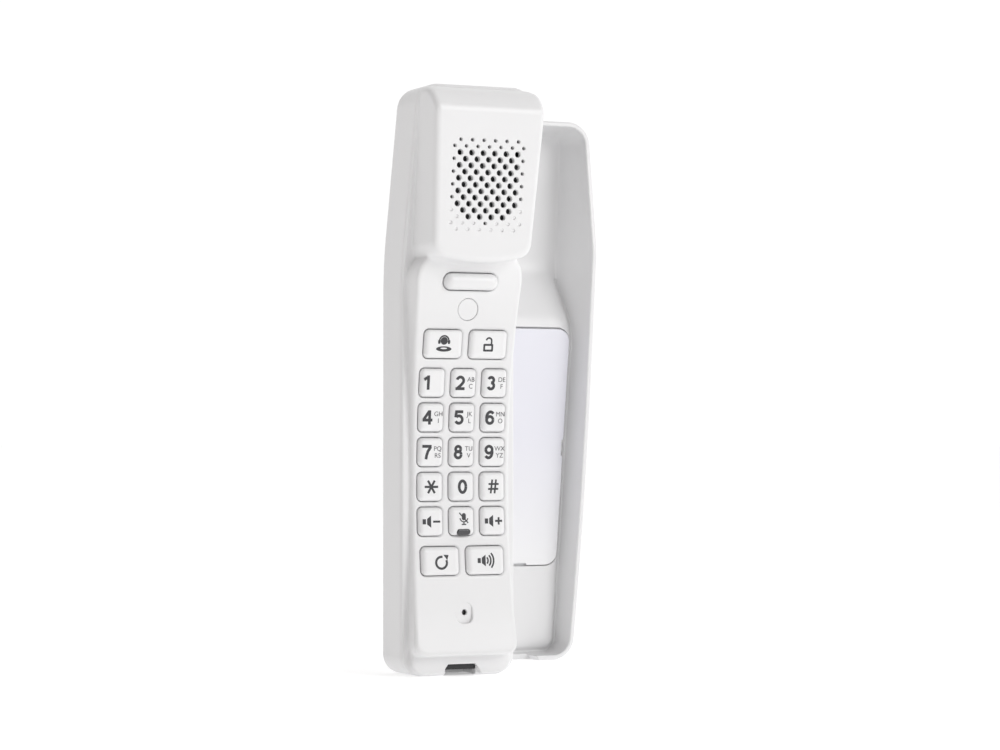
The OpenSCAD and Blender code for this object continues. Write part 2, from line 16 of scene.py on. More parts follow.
import bpy
import numpy as np
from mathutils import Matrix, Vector

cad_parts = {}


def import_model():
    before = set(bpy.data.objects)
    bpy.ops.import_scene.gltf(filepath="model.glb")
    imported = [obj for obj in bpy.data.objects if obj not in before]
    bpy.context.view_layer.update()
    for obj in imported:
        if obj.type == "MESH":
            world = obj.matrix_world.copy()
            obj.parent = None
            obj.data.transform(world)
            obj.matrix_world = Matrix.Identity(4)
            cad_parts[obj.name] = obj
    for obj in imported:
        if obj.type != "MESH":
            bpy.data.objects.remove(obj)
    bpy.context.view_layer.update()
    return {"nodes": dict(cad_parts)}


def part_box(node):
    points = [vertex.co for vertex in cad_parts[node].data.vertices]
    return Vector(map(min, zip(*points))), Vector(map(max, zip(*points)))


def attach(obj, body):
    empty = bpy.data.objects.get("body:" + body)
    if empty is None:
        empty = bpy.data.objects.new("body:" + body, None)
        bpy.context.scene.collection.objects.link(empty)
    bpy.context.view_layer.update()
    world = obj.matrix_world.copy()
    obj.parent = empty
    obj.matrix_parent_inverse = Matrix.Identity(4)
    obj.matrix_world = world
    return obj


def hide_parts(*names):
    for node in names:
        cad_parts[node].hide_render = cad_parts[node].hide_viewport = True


LOG = logging.getLogger("wall_phone")
MM = 0.001
Array = np.ndarray
Pair = tuple[float, float]
Colour = tuple[float, float, float]


# ---------- solids ----------


def soft_max(a: Array, b: Array, blend: float) -> Array:
    """Larger of two distances, with the crease between them rounded.

    Args:
        a: First distances.
        b: Second distances.
        blend: Reach of the rounding; zero keeps the crease sharp.

    Returns:
        The blended distances.
    """
    if blend <= 0:
        return np.maximum(a, b)
    near = np.maximum(blend - np.abs(a - b), 0.0)
    return np.maximum(a, b) + near * near / (4 * blend)


def bend(radius: float, turn_deg: float) -> float:
    """Blend that rounds a crease to a radius, where the surface turns by an angle."""
    return radius * (1 - math.cos(math.radians(turn_deg)))


@dataclass(frozen=True)
class Solid:
    """A solid given by its distance function, which is negative inside."""

    distance: Callable[[Array], Array]

    def meet(self, other: Solid, blend: float = 0.0) -> Solid:
        """What both solids share, with the new edge rounded by blend."""
        return Solid(lambda p: soft_max(self.distance(p), other.distance(p), blend))

    def join(self, other: Solid, blend: float = 0.0) -> Solid:
        """Both solids together, with the inner corner filled by blend."""
        return Solid(lambda p: -soft_max(-self.distance(p), -other.distance(p), blend))

    def inverse(self) -> Solid:
        """Everything that this solid isn't."""
        return Solid(lambda p: -self.distance(p))

    def grow(self, amount: float) -> Solid:
        """This solid with its surface moved outwards by amount."""
        return Solid(lambda p: self.distance(p) - amount)

    def cut(self, other: Solid, blend: float = 0.0) -> Solid:
        """This solid without the other one."""
        return self.meet(other.inverse(), blend)

    def cut_near(self, other: Solid, place: Pair, reach: Pair, depths: Pair, blend: float = 0.0) -> Solid:
        """This solid without the part of the other one that lies in a box.

        Args:
            other: The solid to take away.
            place: The box's centre in front view.
            reach: Its half width and half height, past the cutter's own outline by more than blend.
            depths: Its front and back.
            blend: Rounding of the edge that the cut leaves.

        Returns:
            The cut solid.
        """
        low = np.array([place[0] - reach[0], depths[0], place[1] - reach[1]], float)
        high = np.array([place[0] + reach[0], depths[1], place[1] + reach[1]], float)

        def distance(p: Array) -> Array:
            """Distance that looks at the cutter only inside the box."""
            d = self.distance(p)
            near = np.all((p > low) & (p < high), axis=1)
            if near.any():
                d[near] = soft_max(d[near], -other.distance(p[near]), blend)
            return d

        return Solid(distance)


def half_space(normal: Sequence[float], through: Sequence[float]) -> Solid:
    """Everything behind a plane, given by its outward normal and a point on it."""
    n = np.array(normal, float)
    n = n / np.linalg.norm(n)
    offset = float(np.dot(n, through))
    return Solid(lambda p: p @ n - offset)


def profile_plane(normal_y: float, normal_z: float, y: float, z: float) -> Solid:
    """A half space whose plane runs straight across the object, given in side view."""
    return half_space((0.0, normal_y, normal_z), (0.0, y, z))


def rounded(qx: Array, qz: Array, radius: float) -> Array:
    """Distance to a rounded rectangle from offsets measured past the centres of its corners."""
    outside = np.hypot(np.maximum(qx, 0.0), np.maximum(qz, 0.0))
    return outside + np.minimum(np.maximum(qx, qz), 0.0) - radius


def upright(x: float, z: float, width: float, height: float, radius: float) -> Solid:
    """A prism along y whose front view is a rounded rectangle.

    Args:
        x: Centre across.
        z: Centre height.
        width: Width.
        height: Height.
        radius: Radius of the corners.

    Returns:
        The endless prism.
    """

    def distance(p: Array) -> Array:
        """Distance to the rounded rectangle in front view."""
        qx = np.abs(p[:, 0] - x) - width / 2 + radius
        qz = np.abs(p[:, 2] - z) - height / 2 + radius
        return rounded(qx, qz, radius)

    return Solid(distance)


def block(low: Sequence[float], high: Sequence[float], radius: float = 0.0) -> Solid:
    """A box with rounded edges."""
    low, high = np.array(low, float), np.array(high, float)
    centre, half = (low + high) / 2, (high - low) / 2

    def distance(p: Array) -> Array:
        """Distance to the rounded box."""
        q = np.abs(p - centre) - half + radius
        return np.linalg.norm(np.maximum(q, 0.0), axis=1) + np.minimum(q.max(axis=1), 0.0) - radius

    return Solid(distance)


def rod(x: float, z: float, radius: float, front: float = -1e3, back: float = 1e3) -> Solid:
    """A round bar along y, between two depths."""

    def distance(p: Array) -> Array:
        """Distance to the bar."""
        side = np.hypot(p[:, 0] - x, p[:, 2] - z) - radius
        return np.maximum(side, np.maximum(front - p[:, 1], p[:, 1] - back))

    return Solid(distance)


def behind_barrel(radius: float, axis_y: float, axis_z: float) -> Solid:
    """Everything outside a wide cylinder that lies across the object: what is behind a hollow face."""
    return Solid(lambda p: radius - np.hypot(p[:, 1] - axis_y, p[:, 2] - axis_z))


def lattice(holes: Sequence[tuple[float, float, float]], front: float, back: float) -> Solid:
    """Many round bars along y together, each given by x, z and radius."""

    def distance(p: Array) -> Array:
        """Distance to the nearest bar."""
        d = np.full(len(p), 1e3)
        for x, z, radius in holes:
            np.minimum(d, np.hypot(p[:, 0] - x, p[:, 2] - z) - radius, out=d)
        return np.maximum(d, np.maximum(front - p[:, 1], p[:, 1] - back))

    return Solid(distance)


# ---------- meshing ----------


@dataclass(frozen=True)
class Unit:
    """Where a unit's local axes lie in the row frame."""

    origin: Vector
    body: str

    def place(self, local: Array) -> Array:
        """Points in the row frame, in metres, from local points in millimetres."""
        return local * MM + np.array(self.origin)


@dataclass(frozen=True)
class Mould:
    """Makes mesh pieces from solids."""

    step: float = 0.5
    keep: float = 0.35
    chunk: int = 400_000

    def evaluate(self, solid: Solid, points: Array) -> Array:
        """Distances at many points, taken in chunks to bound the memory."""
        parts = [solid.distance(points[i:i + self.chunk]) for i in range(0, len(points), self.chunk)]
        return np.concatenate(parts)

    def gradient(self, solid: Solid, points: Array) -> Array:
        """Unit normals of the distance function at points, by central differences."""
        reach = 0.04
        columns = []
        for axis in range(3):
            shift = np.zeros(3)
            shift[axis] = reach
            columns.append(self.evaluate(solid, points + shift) - self.evaluate(solid, points - shift))
        g = np.stack(columns, axis=1)
        return g / np.maximum(np.linalg.norm(g, axis=1, keepdims=True), 1e-9)

    def settle(self, solid: Solid, points: Array, rounds: int = 2) -> tuple[Array, Array]:
        """Moves points onto the solid's surface.

        Args:
            solid: The solid.
            points: Points near its surface.
            rounds: How many times to step.

        Returns:
            The settled points and the surface's normals there.
        """
        normals = self.gradient(solid, points)
        for _ in range(rounds):
            d = np.clip(self.evaluate(solid, points), -self.step / 2, self.step / 2)
            points = points - normals * d[:, None]
        return points, self.gradient(solid, points)

    def sample(self, solid: Solid, low: Array, blocks: Array, span: int) -> Array:
        """Distances on a grid, worked out only in blocks near the surface.

        Args:
            solid: The solid.
            low: Lowest corner of the grid.
            blocks: Number of blocks along each axis.
            span: Grid steps along a block's side.

        Returns:
            The grid of distances; far from the surface only their sign is right.
        """
        side = span * self.step
        axes = [low[i] + (np.arange(blocks[i]) + 0.5) * side for i in range(3)]
        centres = np.stack(np.meshgrid(*axes, indexing="ij"), axis=-1).reshape(-1, 3)
        coarse = self.evaluate(solid, centres)
        values = np.sign(coarse).astype(np.float32).reshape(blocks)
        for axis in range(3):
            values = np.repeat(values, span, axis=axis)
        near = np.stack(np.unravel_index(np.flatnonzero(np.abs(coarse) < 1.4 * side), blocks), axis=1)
        inner = np.stack(np.meshgrid(*[np.arange(span)] * 3, indexing="ij"), axis=-1).reshape(-1, 3)
        cells = (near[:, None, :] * span + inner[None]).reshape(-1, 3)
        fine = self.evaluate(solid, low + cells * self.step)
        values[tuple(cells.T)] = fine
        return values

    def net(self, values: Array) -> tuple[Array, Array]:
        """Surface net of a grid of distances.

        Args:
            values: Distances on the grid, positive all round its outside.

        Returns:
            Vertices in grid steps, and quads of vertex numbers.
        """
        inside = values < 0
        corners = [np.array(c) for c in np.ndindex(2, 2, 2)]
        size = np.array(values.shape) - 1
        count = np.zeros(size, np.uint8)
        for c in corners:
            count += inside[tuple(slice(c[i], c[i] + size[i]) for i in range(3))]
        cells = np.argwhere((count > 0) & (count < 8))
        number = np.full(size, -1, np.int32)
        number[tuple(cells.T)] = np.arange(len(cells))
        at_corner = {tuple(c): values[tuple((cells + c).T)].astype(float) for c in corners}
        total = np.zeros((len(cells), 3))
        hits = np.zeros(len(cells))
        for axis in range(3):
            for c in corners:
                if c[axis]:
                    continue
                end = c.copy()
                end[axis] = 1
                a, b = at_corner[tuple(c)], at_corner[tuple(end)]
                crossing = (a < 0) != (b < 0)
                share = np.where(crossing, a / np.where(crossing, a - b, 1.0), 0.0)
                total += np.where(crossing[:, None], c + share[:, None] * (end - c), 0.0)
                hits += crossing
        quads = []
        for axis in range(3):
            first, second = (axis + 1) % 3, (axis + 2) % 3
            start = [slice(None)] * 3
            stop = [slice(None)] * 3
            start[axis], stop[axis] = slice(None, -1), slice(1, None)
            edges = np.argwhere(inside[tuple(start)] != inside[tuple(stop)])
            leaving = inside[tuple(edges.T)]
            ring = []
            for back in ((0, 0), (1, 0), (1, 1), (0, 1)):
                cell = edges.copy()
                cell[:, first] -= back[0]
                cell[:, second] -= back[1]
                ring.append(number[tuple(cell.T)])
            quad = np.stack(ring, axis=1)
            quads.append(np.where(leaving[:, None], quad, quad[:, ::-1]))
        return cells + total / hits[:, None], np.concatenate(quads)

    def make(
        self, name: str, unit: Unit, solid: Solid, low: Sequence[float], high: Sequence[float]
    ) -> bpy.types.Object:
        """Meshes a solid as a piece.

        Args:
            name: Name of the piece.
            unit: The unit that it belongs to.
            solid: Its solid, in the unit's local millimetres.
            low: Lowest corner of a box around it.
            high: Highest corner of that box.

        Returns:
            The smooth mesh object, in the row frame.
        """
        span = 4
        low = np.array(low, float) - 1.5 * self.step
        blocks = np.ceil((np.array(high, float) + 1.5 * self.step - low) / (span * self.step)).astype(int)
        vertices, quads = self.net(self.sample(solid, low, blocks, span))
        points, _ = self.settle(solid, low + vertices * self.step)
        mesh = new_mesh(name, points, quads)
        piece = bpy.data.objects.new(name, mesh)
        bpy.context.scene.collection.objects.link(piece)
        if self.keep < 1:
            thin = piece.modifiers.new("thin", "DECIMATE")
            thin.ratio = self.keep
            graph = bpy.context.evaluated_depsgraph_get()
            piece.data = bpy.data.meshes.new_from_object(piece.evaluated_get(graph))
            piece.modifiers.clear()
            bpy.data.meshes.remove(mesh)
            piece.data.name = name
        flat = np.zeros(len(piece.data.vertices) * 3)
        piece.data.vertices.foreach_get("co", flat)
        points, normals = self.settle(solid, flat.reshape(-1, 3), 1)
        piece.data.vertices.foreach_set("co", unit.place(points).ravel())
        piece.data.shade_smooth()
        piece.data.normals_split_custom_set_from_vertices(normals)
        piece.data.update()
        return piece


def new_mesh(name: str, points: Array, faces: Array) -> bpy.types.Mesh:
    """A mesh from arrays of points and of equally sided faces."""
    mesh = bpy.data.meshes.new(name)
    count, sides = faces.shape
    mesh.vertices.add(len(points))
    mesh.vertices.foreach_set("co", np.ascontiguousarray(points, dtype=np.float32).ravel())
    mesh.loops.add(count * sides)
    mesh.loops.foreach_set("vertex_index", np.ascontiguousarray(faces, dtype=np.int32).ravel())
    mesh.polygons.add(count)
    mesh.polygons.foreach_set("loop_start", np.arange(0, count * sides, sides, dtype=np.int32))
    mesh.update(calc_edges=True)
    mesh.validate()
    return mesh


# ---------- finishes ----------


@dataclass(frozen=True)
class Finish:
    """A procedural finish: a colour that drifts a little, a grain in its gloss and a fine relief.

    Where foot is given, the colour turns into it towards the bottom, from the upper fade height down to the
    lower one, in metres over the floor: this is painted light, a lighter lower part that stands in for
    light, not a colour of the material.
    """

    slot: str
    colour: Colour
    drift: Colour
    roughness: float
    gloss_drift: float = 0.06
    drift_scale: float = 60.0
    grain_scale: float = 2600.0
    relief: float = 0.02
    metallic: float = 0.0
    coat: float = 0.0
    coat_roughness: float = 0.1
    transmission: float = 0.0
    specular: float = 0.5
    ior: float = 1.5
    # foot: a lighter colour laid on the lower part, which is painted light, not a colour of the material
    foot: Colour | None = None
    painted_light_low: float = 0.035
    painted_light_top: float = 0.085
    relief_height: float = 0.0002

    def material(self, name: str) -> bpy.types.Material:
        """Builds the node material.

        Args:
            name: Name of the material.

        Returns:
            The material.
        """
        made = bpy.data.materials.new(name)
        made.use_nodes = True
        tree = made.node_tree
        tree.nodes.clear()
        output = tree.nodes.new("ShaderNodeOutputMaterial")
        shader = tree.nodes.new("ShaderNodeBsdfPrincipled")
        place = tree.nodes.new("ShaderNodeTexCoord")
        clouds = self._noise(tree, place, self.drift_scale, 3.0)
        grain = self._noise(tree, place, self.grain_scale, 2.0)
        mix = tree.nodes.new("ShaderNodeMix")
        mix.data_type = "RGBA"
        mix.inputs[6].default_value = (*self.colour, 1.0)
        mix.inputs[7].default_value = (*self.drift, 1.0)
        tree.links.new(clouds.outputs["Fac"], mix.inputs[0])
        tree.links.new(mix.outputs[2], shader.inputs["Base Color"])
        if self.foot:
            self._paint_light_low(tree, place, mix, shader)
        span = tree.nodes.new("ShaderNodeMapRange")
        span.inputs["To Min"].default_value = max(self.roughness - self.gloss_drift, 0.02)
        span.inputs["To Max"].default_value = min(self.roughness + self.gloss_drift, 1.0)
        tree.links.new(grain.outputs["Fac"], span.inputs["Value"])
        tree.links.new(span.outputs["Result"], shader.inputs["Roughness"])
        bump = tree.nodes.new("ShaderNodeBump")
        bump.inputs["Strength"].default_value = self.relief
        bump.inputs["Distance"].default_value = self.relief_height
        tree.links.new(grain.outputs["Fac"], bump.inputs["Height"])
        tree.links.new(bump.outputs["Normal"], shader.inputs["Normal"])
        even = {
            "Metallic": self.metallic,
            "Coat Weight": self.coat,
            "Coat Roughness": self.coat_roughness,
            "Transmission Weight": self.transmission,
            "Specular IOR Level": self.specular,
            "IOR": self.ior,
        }
        for socket, value in even.items():
            shader.inputs[socket].default_value = value
        tree.links.new(shader.outputs["BSDF"], output.inputs["Surface"])
        return made

    def _paint_light_low(
        self, tree: bpy.types.NodeTree, place: bpy.types.Node, mix: bpy.types.Node, shader: bpy.types.Node
    ) -> None:
        """Paints light: lets the colour turn into the lighter foot colour towards the bottom."""
        split = tree.nodes.new("ShaderNodeSeparateXYZ")
        tree.links.new(place.outputs["Object"], split.inputs["Vector"])
        rise = tree.nodes.new("ShaderNodeMapRange")
        rise.inputs["From Min"].default_value = self.painted_light_low
        rise.inputs["From Max"].default_value = self.painted_light_top
        tree.links.new(split.outputs["Z"], rise.inputs["Value"])
        fade = tree.nodes.new("ShaderNodeMix")
        fade.data_type = "RGBA"
        fade.inputs[6].default_value = (*self.foot, 1.0)
        tree.links.new(rise.outputs["Result"], fade.inputs[0])
        tree.links.new(mix.outputs[2], fade.inputs[7])
        tree.links.new(fade.outputs[2], shader.inputs["Base Color"])

    @staticmethod
    def _noise(
        tree: bpy.types.NodeTree, place: bpy.types.Node, scale: float, detail: float
    ) -> bpy.types.Node:
        """A noise node read in object coordinates."""
        noise = tree.nodes.new("ShaderNodeTexNoise")
        noise.inputs["Scale"].default_value = scale
        noise.inputs["Detail"].default_value = detail
        tree.links.new(place.outputs["Object"], noise.inputs["Vector"])
        return noise


class Dress(Enum):
    """The finishes that the phone's pieces wear."""

    HANDSET = Finish("handset_shell", (0.82, 0.82, 0.825), (0.795, 0.795, 0.80), 0.36, coat=0.15)
    BASE = Finish("base_shell", (0.80, 0.80, 0.805), (0.775, 0.775, 0.78), 0.38, coat=0.12)
    KEYS = Finish("key_caps", (0.85, 0.85, 0.855), (0.83, 0.83, 0.835), 0.42, relief=0.04)
    LEGEND = Finish("key_caps", (0.035, 0.036, 0.04), (0.05, 0.05, 0.055), 0.5)
    LETTERS = Finish("key_caps", (0.07, 0.07, 0.075), (0.1, 0.1, 0.105), 0.5)
    LENS = Finish("smoked_lens", (0.03, 0.03, 0.035), (0.05, 0.05, 0.055), 0.18, coat=0.6, relief=0.0)
    CLEAR = Finish(
        "clear_cover", (0.9, 0.9, 0.965), (0.89, 0.89, 0.96), 0.12, 0.03, relief=0.0, transmission=0.1,
        # painted light: the clear cover is made lighter towards its bottom
        foot=(0.97, 0.97, 0.98),
    )
    CARD = Finish("card", (0.9, 0.9, 0.92), (0.88, 0.88, 0.905), 0.75, grain_scale=5200.0, relief=0.03)
    SILICONE = Finish("silicone", (0.7, 0.7, 0.72), (0.64, 0.64, 0.66), 0.62, relief=0.05)
    RUBBER = Finish("rubber_boot", (0.02, 0.02, 0.022), (0.035, 0.035, 0.038), 0.7, relief=0.08)
    FOAM = Finish("foam", (0.03, 0.03, 0.034), (0.07, 0.07, 0.075), 0.95, grain_scale=1500.0, relief=0.6)
    BOARD = Finish(
        "circuit_board", (0.012, 0.12, 0.05), (0.02, 0.19, 0.08), 0.35, drift_scale=420.0, coat=0.4
    )
    SPEAKER = Finish("speaker_frame", (0.07, 0.07, 0.075), (0.045, 0.045, 0.05), 0.5, relief=0.1)
    BLACK = Finish("black_plastic", (0.014, 0.014, 0.016), (0.022, 0.022, 0.024), 0.4, relief=0.04)
    GOLD = Finish("contacts", (0.85, 0.58, 0.2), (0.75, 0.48, 0.15), 0.22, metallic=1.0)
    STEEL = Finish("steel", (0.55, 0.55, 0.57), (0.42, 0.42, 0.44), 0.32, 0.12, metallic=1.0, relief=0.08)


class Wardrobe:
    """Gives pieces their finishes, and makes each material once."""

    def __init__(self) -> None:
        """Starts with no material made."""
        self.made: dict[Dress, bpy.types.Material] = {}

    def material(self, dress: Dress) -> bpy.types.Material:
        """The material of a finish."""
        if dress not in self.made:
            self.made[dress] = dress.value.material(dress.name.lower())
        return self.made[dress]

    def wear(self, piece: bpy.types.Object, dress: Dress) -> bpy.types.Object:
        """Dresses a whole piece, new or from the frame, in one finish."""
        material = self.material(dress)
        if not piece.material_slots:
            piece.data.materials.append(material)
        for place in piece.material_slots:
            place.material = material
        return piece

    def fit(self, piece: bpy.types.Object, dress: Dress, body: str, *stands_for: str) -> bpy.types.Object:
        """Dresses a new piece and ties it to the frame.

        Args:
            piece: The new piece.
            dress: Its finish.
            body: The body that it rides on.
            stands_for: Nodes of the frame that it replaces.

        Returns:
            The piece.
        """
        self.wear(piece, dress)
        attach(piece, body)
        if stands_for:
            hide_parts(*stands_for)
        LOG.info("%s: %d faces", piece.name, len(piece.data.polygons))
        return piece


# ---------- legends ----------


Outline = list[Pair]


def arc(x: float, z: float, radius: float, start_deg: float, end_deg: float, steps: int = 24) -> Outline:
    """Points of a round arc, anticlockwise from start to end."""
    angles = np.radians(np.linspace(start_deg, end_deg, steps + 1))
    return [(x + radius * math.cos(a), z + radius * math.sin(a)) for a in angles]


def disc(x: float, z: float, radius: float) -> Outline:
    """Outline of a disc."""
    return arc(x, z, radius, 0, 360)[:-1]


def stroke(path: Outline, width: float) -> Outline:
    """Outline of a line of even width along a path, with square ends."""
    points = np.array(path, float)
    along = np.gradient(points, axis=0)
    along /= np.linalg.norm(along, axis=1, keepdims=True)
    side = np.stack([-along[:, 1], along[:, 0]], axis=1) * width / 2
    return [tuple(p) for p in np.concatenate([points + side, (points - side)[::-1]])]


def bar(x0: float, z0: float, x1: float, z1: float, width: float) -> Outline:
    """Outline of a straight stroke with square ends."""
    return stroke([(x0, z0), (x1, z1)], width)


def band(x: float, z: float, radius: float, width: float, start_deg: float, end_deg: float) -> Outline:
    """Outline of a curved stroke about a centre."""
    return stroke(arc(x, z, radius, start_deg, end_deg), width)


def oval(x: float, z: float, half_w: float, half_h: float, start_deg: float, end_deg: float) -> Outline:
    """Points of an upright oval's arc."""
    return [(x + half_w * u, z + half_h * v) for u, v in arc(0.0, 0.0, 1.0, start_deg, end_deg, 30)]


def rounded_rectangle(x: float, z: float, width: float, height: float, radius: float) -> Outline:
    """Outline of a rectangle with round corners."""
    points: Outline = []
    for sx, sz, start in ((1, 1, 0), (-1, 1, 90), (-1, -1, 180), (1, -1, 270)):
        corner = x + sx * (width / 2 - radius), z + sz * (height / 2 - radius)
        points += arc(*corner, radius, start, start + 90, 6)
    return points


# Each sign is a list of plates, and a plate is its outer outline with any holes in it.
Sign = list[list[Outline]]


def strokes(paths: list[Outline], width: float) -> Sign:
    """A sign drawn with strokes of one width."""
    return [[stroke(path, width)] for path in paths]


def turned(path: Outline) -> Outline:
    """A path turned by half a turn."""
    return [(-x, -z) for x, z in path]


def digit(character: str) -> Sign:
    """One digit, or the hash sign, in bold upright strokes.

    Args:
        character: The digit.

    Returns:
        Its plates, centred.
    """
    top, side = 1.87, 1.18
    six = [arc(0.02, -0.76, 1.13, 0, 360), oval(0.2, 0.0, 1.33, top, 42, 188)]
    paths: dict[str, list[Outline]] = {
        "0": [oval(0.0, 0.0, side, top, 0, 360)],
        "1": [[(0.45, 2.3), (0.45, -2.3)], [(0.3, 1.75), (-1.0, 0.95)]],
        "2": [
            [*arc(0.0, 0.72, 1.16, 165, -38), (0.25, -0.75), (-0.95, -1.75)],
            [(-1.6, -top), (1.6, -top)],
        ],
        "3": [arc(-0.05, 0.96, 0.92, 160, -90), arc(-0.05, -0.86, 1.03, 90, -160)],
        "4": [[(0.5, 2.0), (-1.4, -0.7)], [(-1.75, -0.85), (1.65, -0.85)], [(0.65, 2.3), (0.65, -2.3)]],
        "5": [[(-0.95, top), (1.45, top)], [(-0.85, 2.28), (-1.15, 0.05)], arc(0.0, -0.66, 1.2, 138, -155)],
        "6": six,
        "7": [[(-1.6, top), (1.6, top)], [(1.3, 1.7), (0.35, 0.3), (-0.1, -1.0), (-0.35, -2.3)]],
        "8": [arc(0.0, 0.97, 0.9, 0, 360), arc(0.0, -0.83, 1.06, 0, 360)],
        "9": [turned(path) for path in six],
    }
    if character == "#":
        uprights = [[(x + 0.28, 2.25), (x - 0.28, -2.25)] for x in (-0.68, 0.68)]
        levels = [[(-1.8 + shift, z), (1.8 + shift, z)] for z, shift in ((0.8, 0.08), (-0.8, -0.08))]
        return strokes(uprights + levels, 0.62)
    return strokes(paths[character], 0.95)


def loudspeaker(x: float, z: float, size: float) -> Sign:
    """A loudspeaker seen from the side: a magnet and a cone."""
    magnet = [(x - size, z - size * 0.42), (x - size * 0.42, z - size * 0.42),
              (x - size * 0.42, z + size * 0.42), (x - size, z + size * 0.42)]
    cone = [(x - size * 0.22, z - size * 0.45), (x + size * 0.5, z - size), (x + size * 0.5, z + size),
            (x - size * 0.22, z + size * 0.45)]
    return [[magnet], [cone]]


def operator_sign() -> Sign:
    """A person's head with a headset, over shoulders."""
    head = disc(0.0, 0.95, 1.25)
    phones = band(0.0, 0.95, 1.62, 0.5, -10, 190)
    cups = [rounded_rectangle(s * 1.7, 0.6, 0.85, 1.3, 0.35) for s in (-1, 1)]
    shoulders = oval(0.0, -1.65, 2.7, 0.85, 0, 360)[:-1]
    collar = oval(0.0, -1.45, 1.2, 0.26, 0, 360)[:-1]
    return [[head], [phones], [cups[0]], [cups[1]], [shoulders, collar]]


def padlock_sign() -> Sign:
    """An open padlock."""
    body = [rounded_rectangle(0.0, -1.05, 3.5, 2.5, 0.35), rounded_rectangle(0.0, -1.05, 2.2, 1.2, 0.15)]
    shackle = [stroke([(1.1, 0.1), (1.1, 1.0), *arc(0.15, 1.15, 0.95, 0, 170)], 0.55)]
    return [body, shackle]


def microphone_off_sign() -> Sign:
    """A microphone with a stroke through it."""
    capsule = rounded_rectangle(0.0, 0.75, 1.4, 2.3, 0.65)
    cradle = band(0.0, 0.5, 1.4, 0.36, 190, 350)
    foot = bar(-0.8, -1.75, 0.8, -1.75, 0.4)
    crossing = bar(-1.6, 2.0, 1.5, -1.3, 0.4)
    return [[capsule], [cradle], [bar(0.0, -0.9, 0.0, -1.8, 0.4)], [foot], [crossing]]


def redial_sign() -> Sign:
    """A circular arrow that ends at the upper right."""
    return [[band(0.0, 0.0, 1.9, 0.75, 78, 385)], [[(0.75, 2.55), (2.55, 2.45), (2.05, 0.75)]]]


def loud_sign() -> Sign:
    """A loudspeaker with two waves."""
    waves = [[band(-0.9, 0.0, r, 0.55, -42, 42)] for r in (1.5, 2.5, 3.5)]
    return [*loudspeaker(-1.2, 0.0, 1.9), *waves]


def volume_down_sign() -> Sign:
    """A loudspeaker and a minus sign."""
    return [*loudspeaker(-1.2, 0.0, 1.95), [bar(0.5, 0.0, 3.0, 0.0, 0.65)]]


def volume_up_sign() -> Sign:
    """A loudspeaker and a plus sign."""
    plus = [[bar(0.5, 0.0, 3.0, 0.0, 0.65)], [bar(1.75, -1.2, 1.75, 1.2, 0.65)]]
    return [*loudspeaker(-1.2, 0.0, 1.95), *plus]


def star_sign() -> Sign:
    """A six-pointed star of three strokes."""
    arms = [(2.35 * math.cos(math.radians(a)), 2.35 * math.sin(math.radians(a))) for a in (0, 60, 120)]
    return strokes([[(-x, -z), (x, z)] for x, z in arms], 0.72)


@dataclass(frozen=True)
class Legend:
    """What is printed on one key: a sign, and small letters beside it."""

    sign: Callable[[], Sign]
    letters: tuple[str, ...] = ()
    x: float = 0.0
    z: float = 0.0


def numeral(character: str, letters: tuple[str, ...] = ()) -> Legend:
    """A digit set to the left of its key, with its letters."""
    return Legend(lambda: digit(character), letters, -1.75)


LEGENDS: dict[str, Legend] = {
    "key_operator": Legend(operator_sign, x=-0.2),
    "key_unlock": Legend(padlock_sign, x=-0.4),
    "key_1": Legend(lambda: digit("1"), x=-2.5),
    "key_2": numeral("2", ("AB", "C")),
    "key_3": numeral("3", ("DE", "F")),
    "key_4": numeral("4", ("GH", "I")),
    "key_5": numeral("5", ("JK", "L")),
    "key_6": numeral("6", ("MN", "O")),
    "key_7": numeral("7", ("PQ", "RS")),
    "key_8": numeral("8", ("TU", "V")),
    "key_9": numeral("9", ("WX", "YZ")),
    "key_star": Legend(star_sign),
    "key_0": Legend(lambda: digit("0")),
    "key_hash": Legend(lambda: digit("#")),
    "key_volume_down": Legend(volume_down_sign),
    "key_mute": Legend(microphone_off_sign, x=0.4, z=0.8),
    "key_volume_up": Legend(volume_up_sign),
    "key_redial": Legend(redial_sign, z=-0.5),
    "key_speaker": Legend(loud_sign, x=0.0),
}


# ---------- the handset ----------


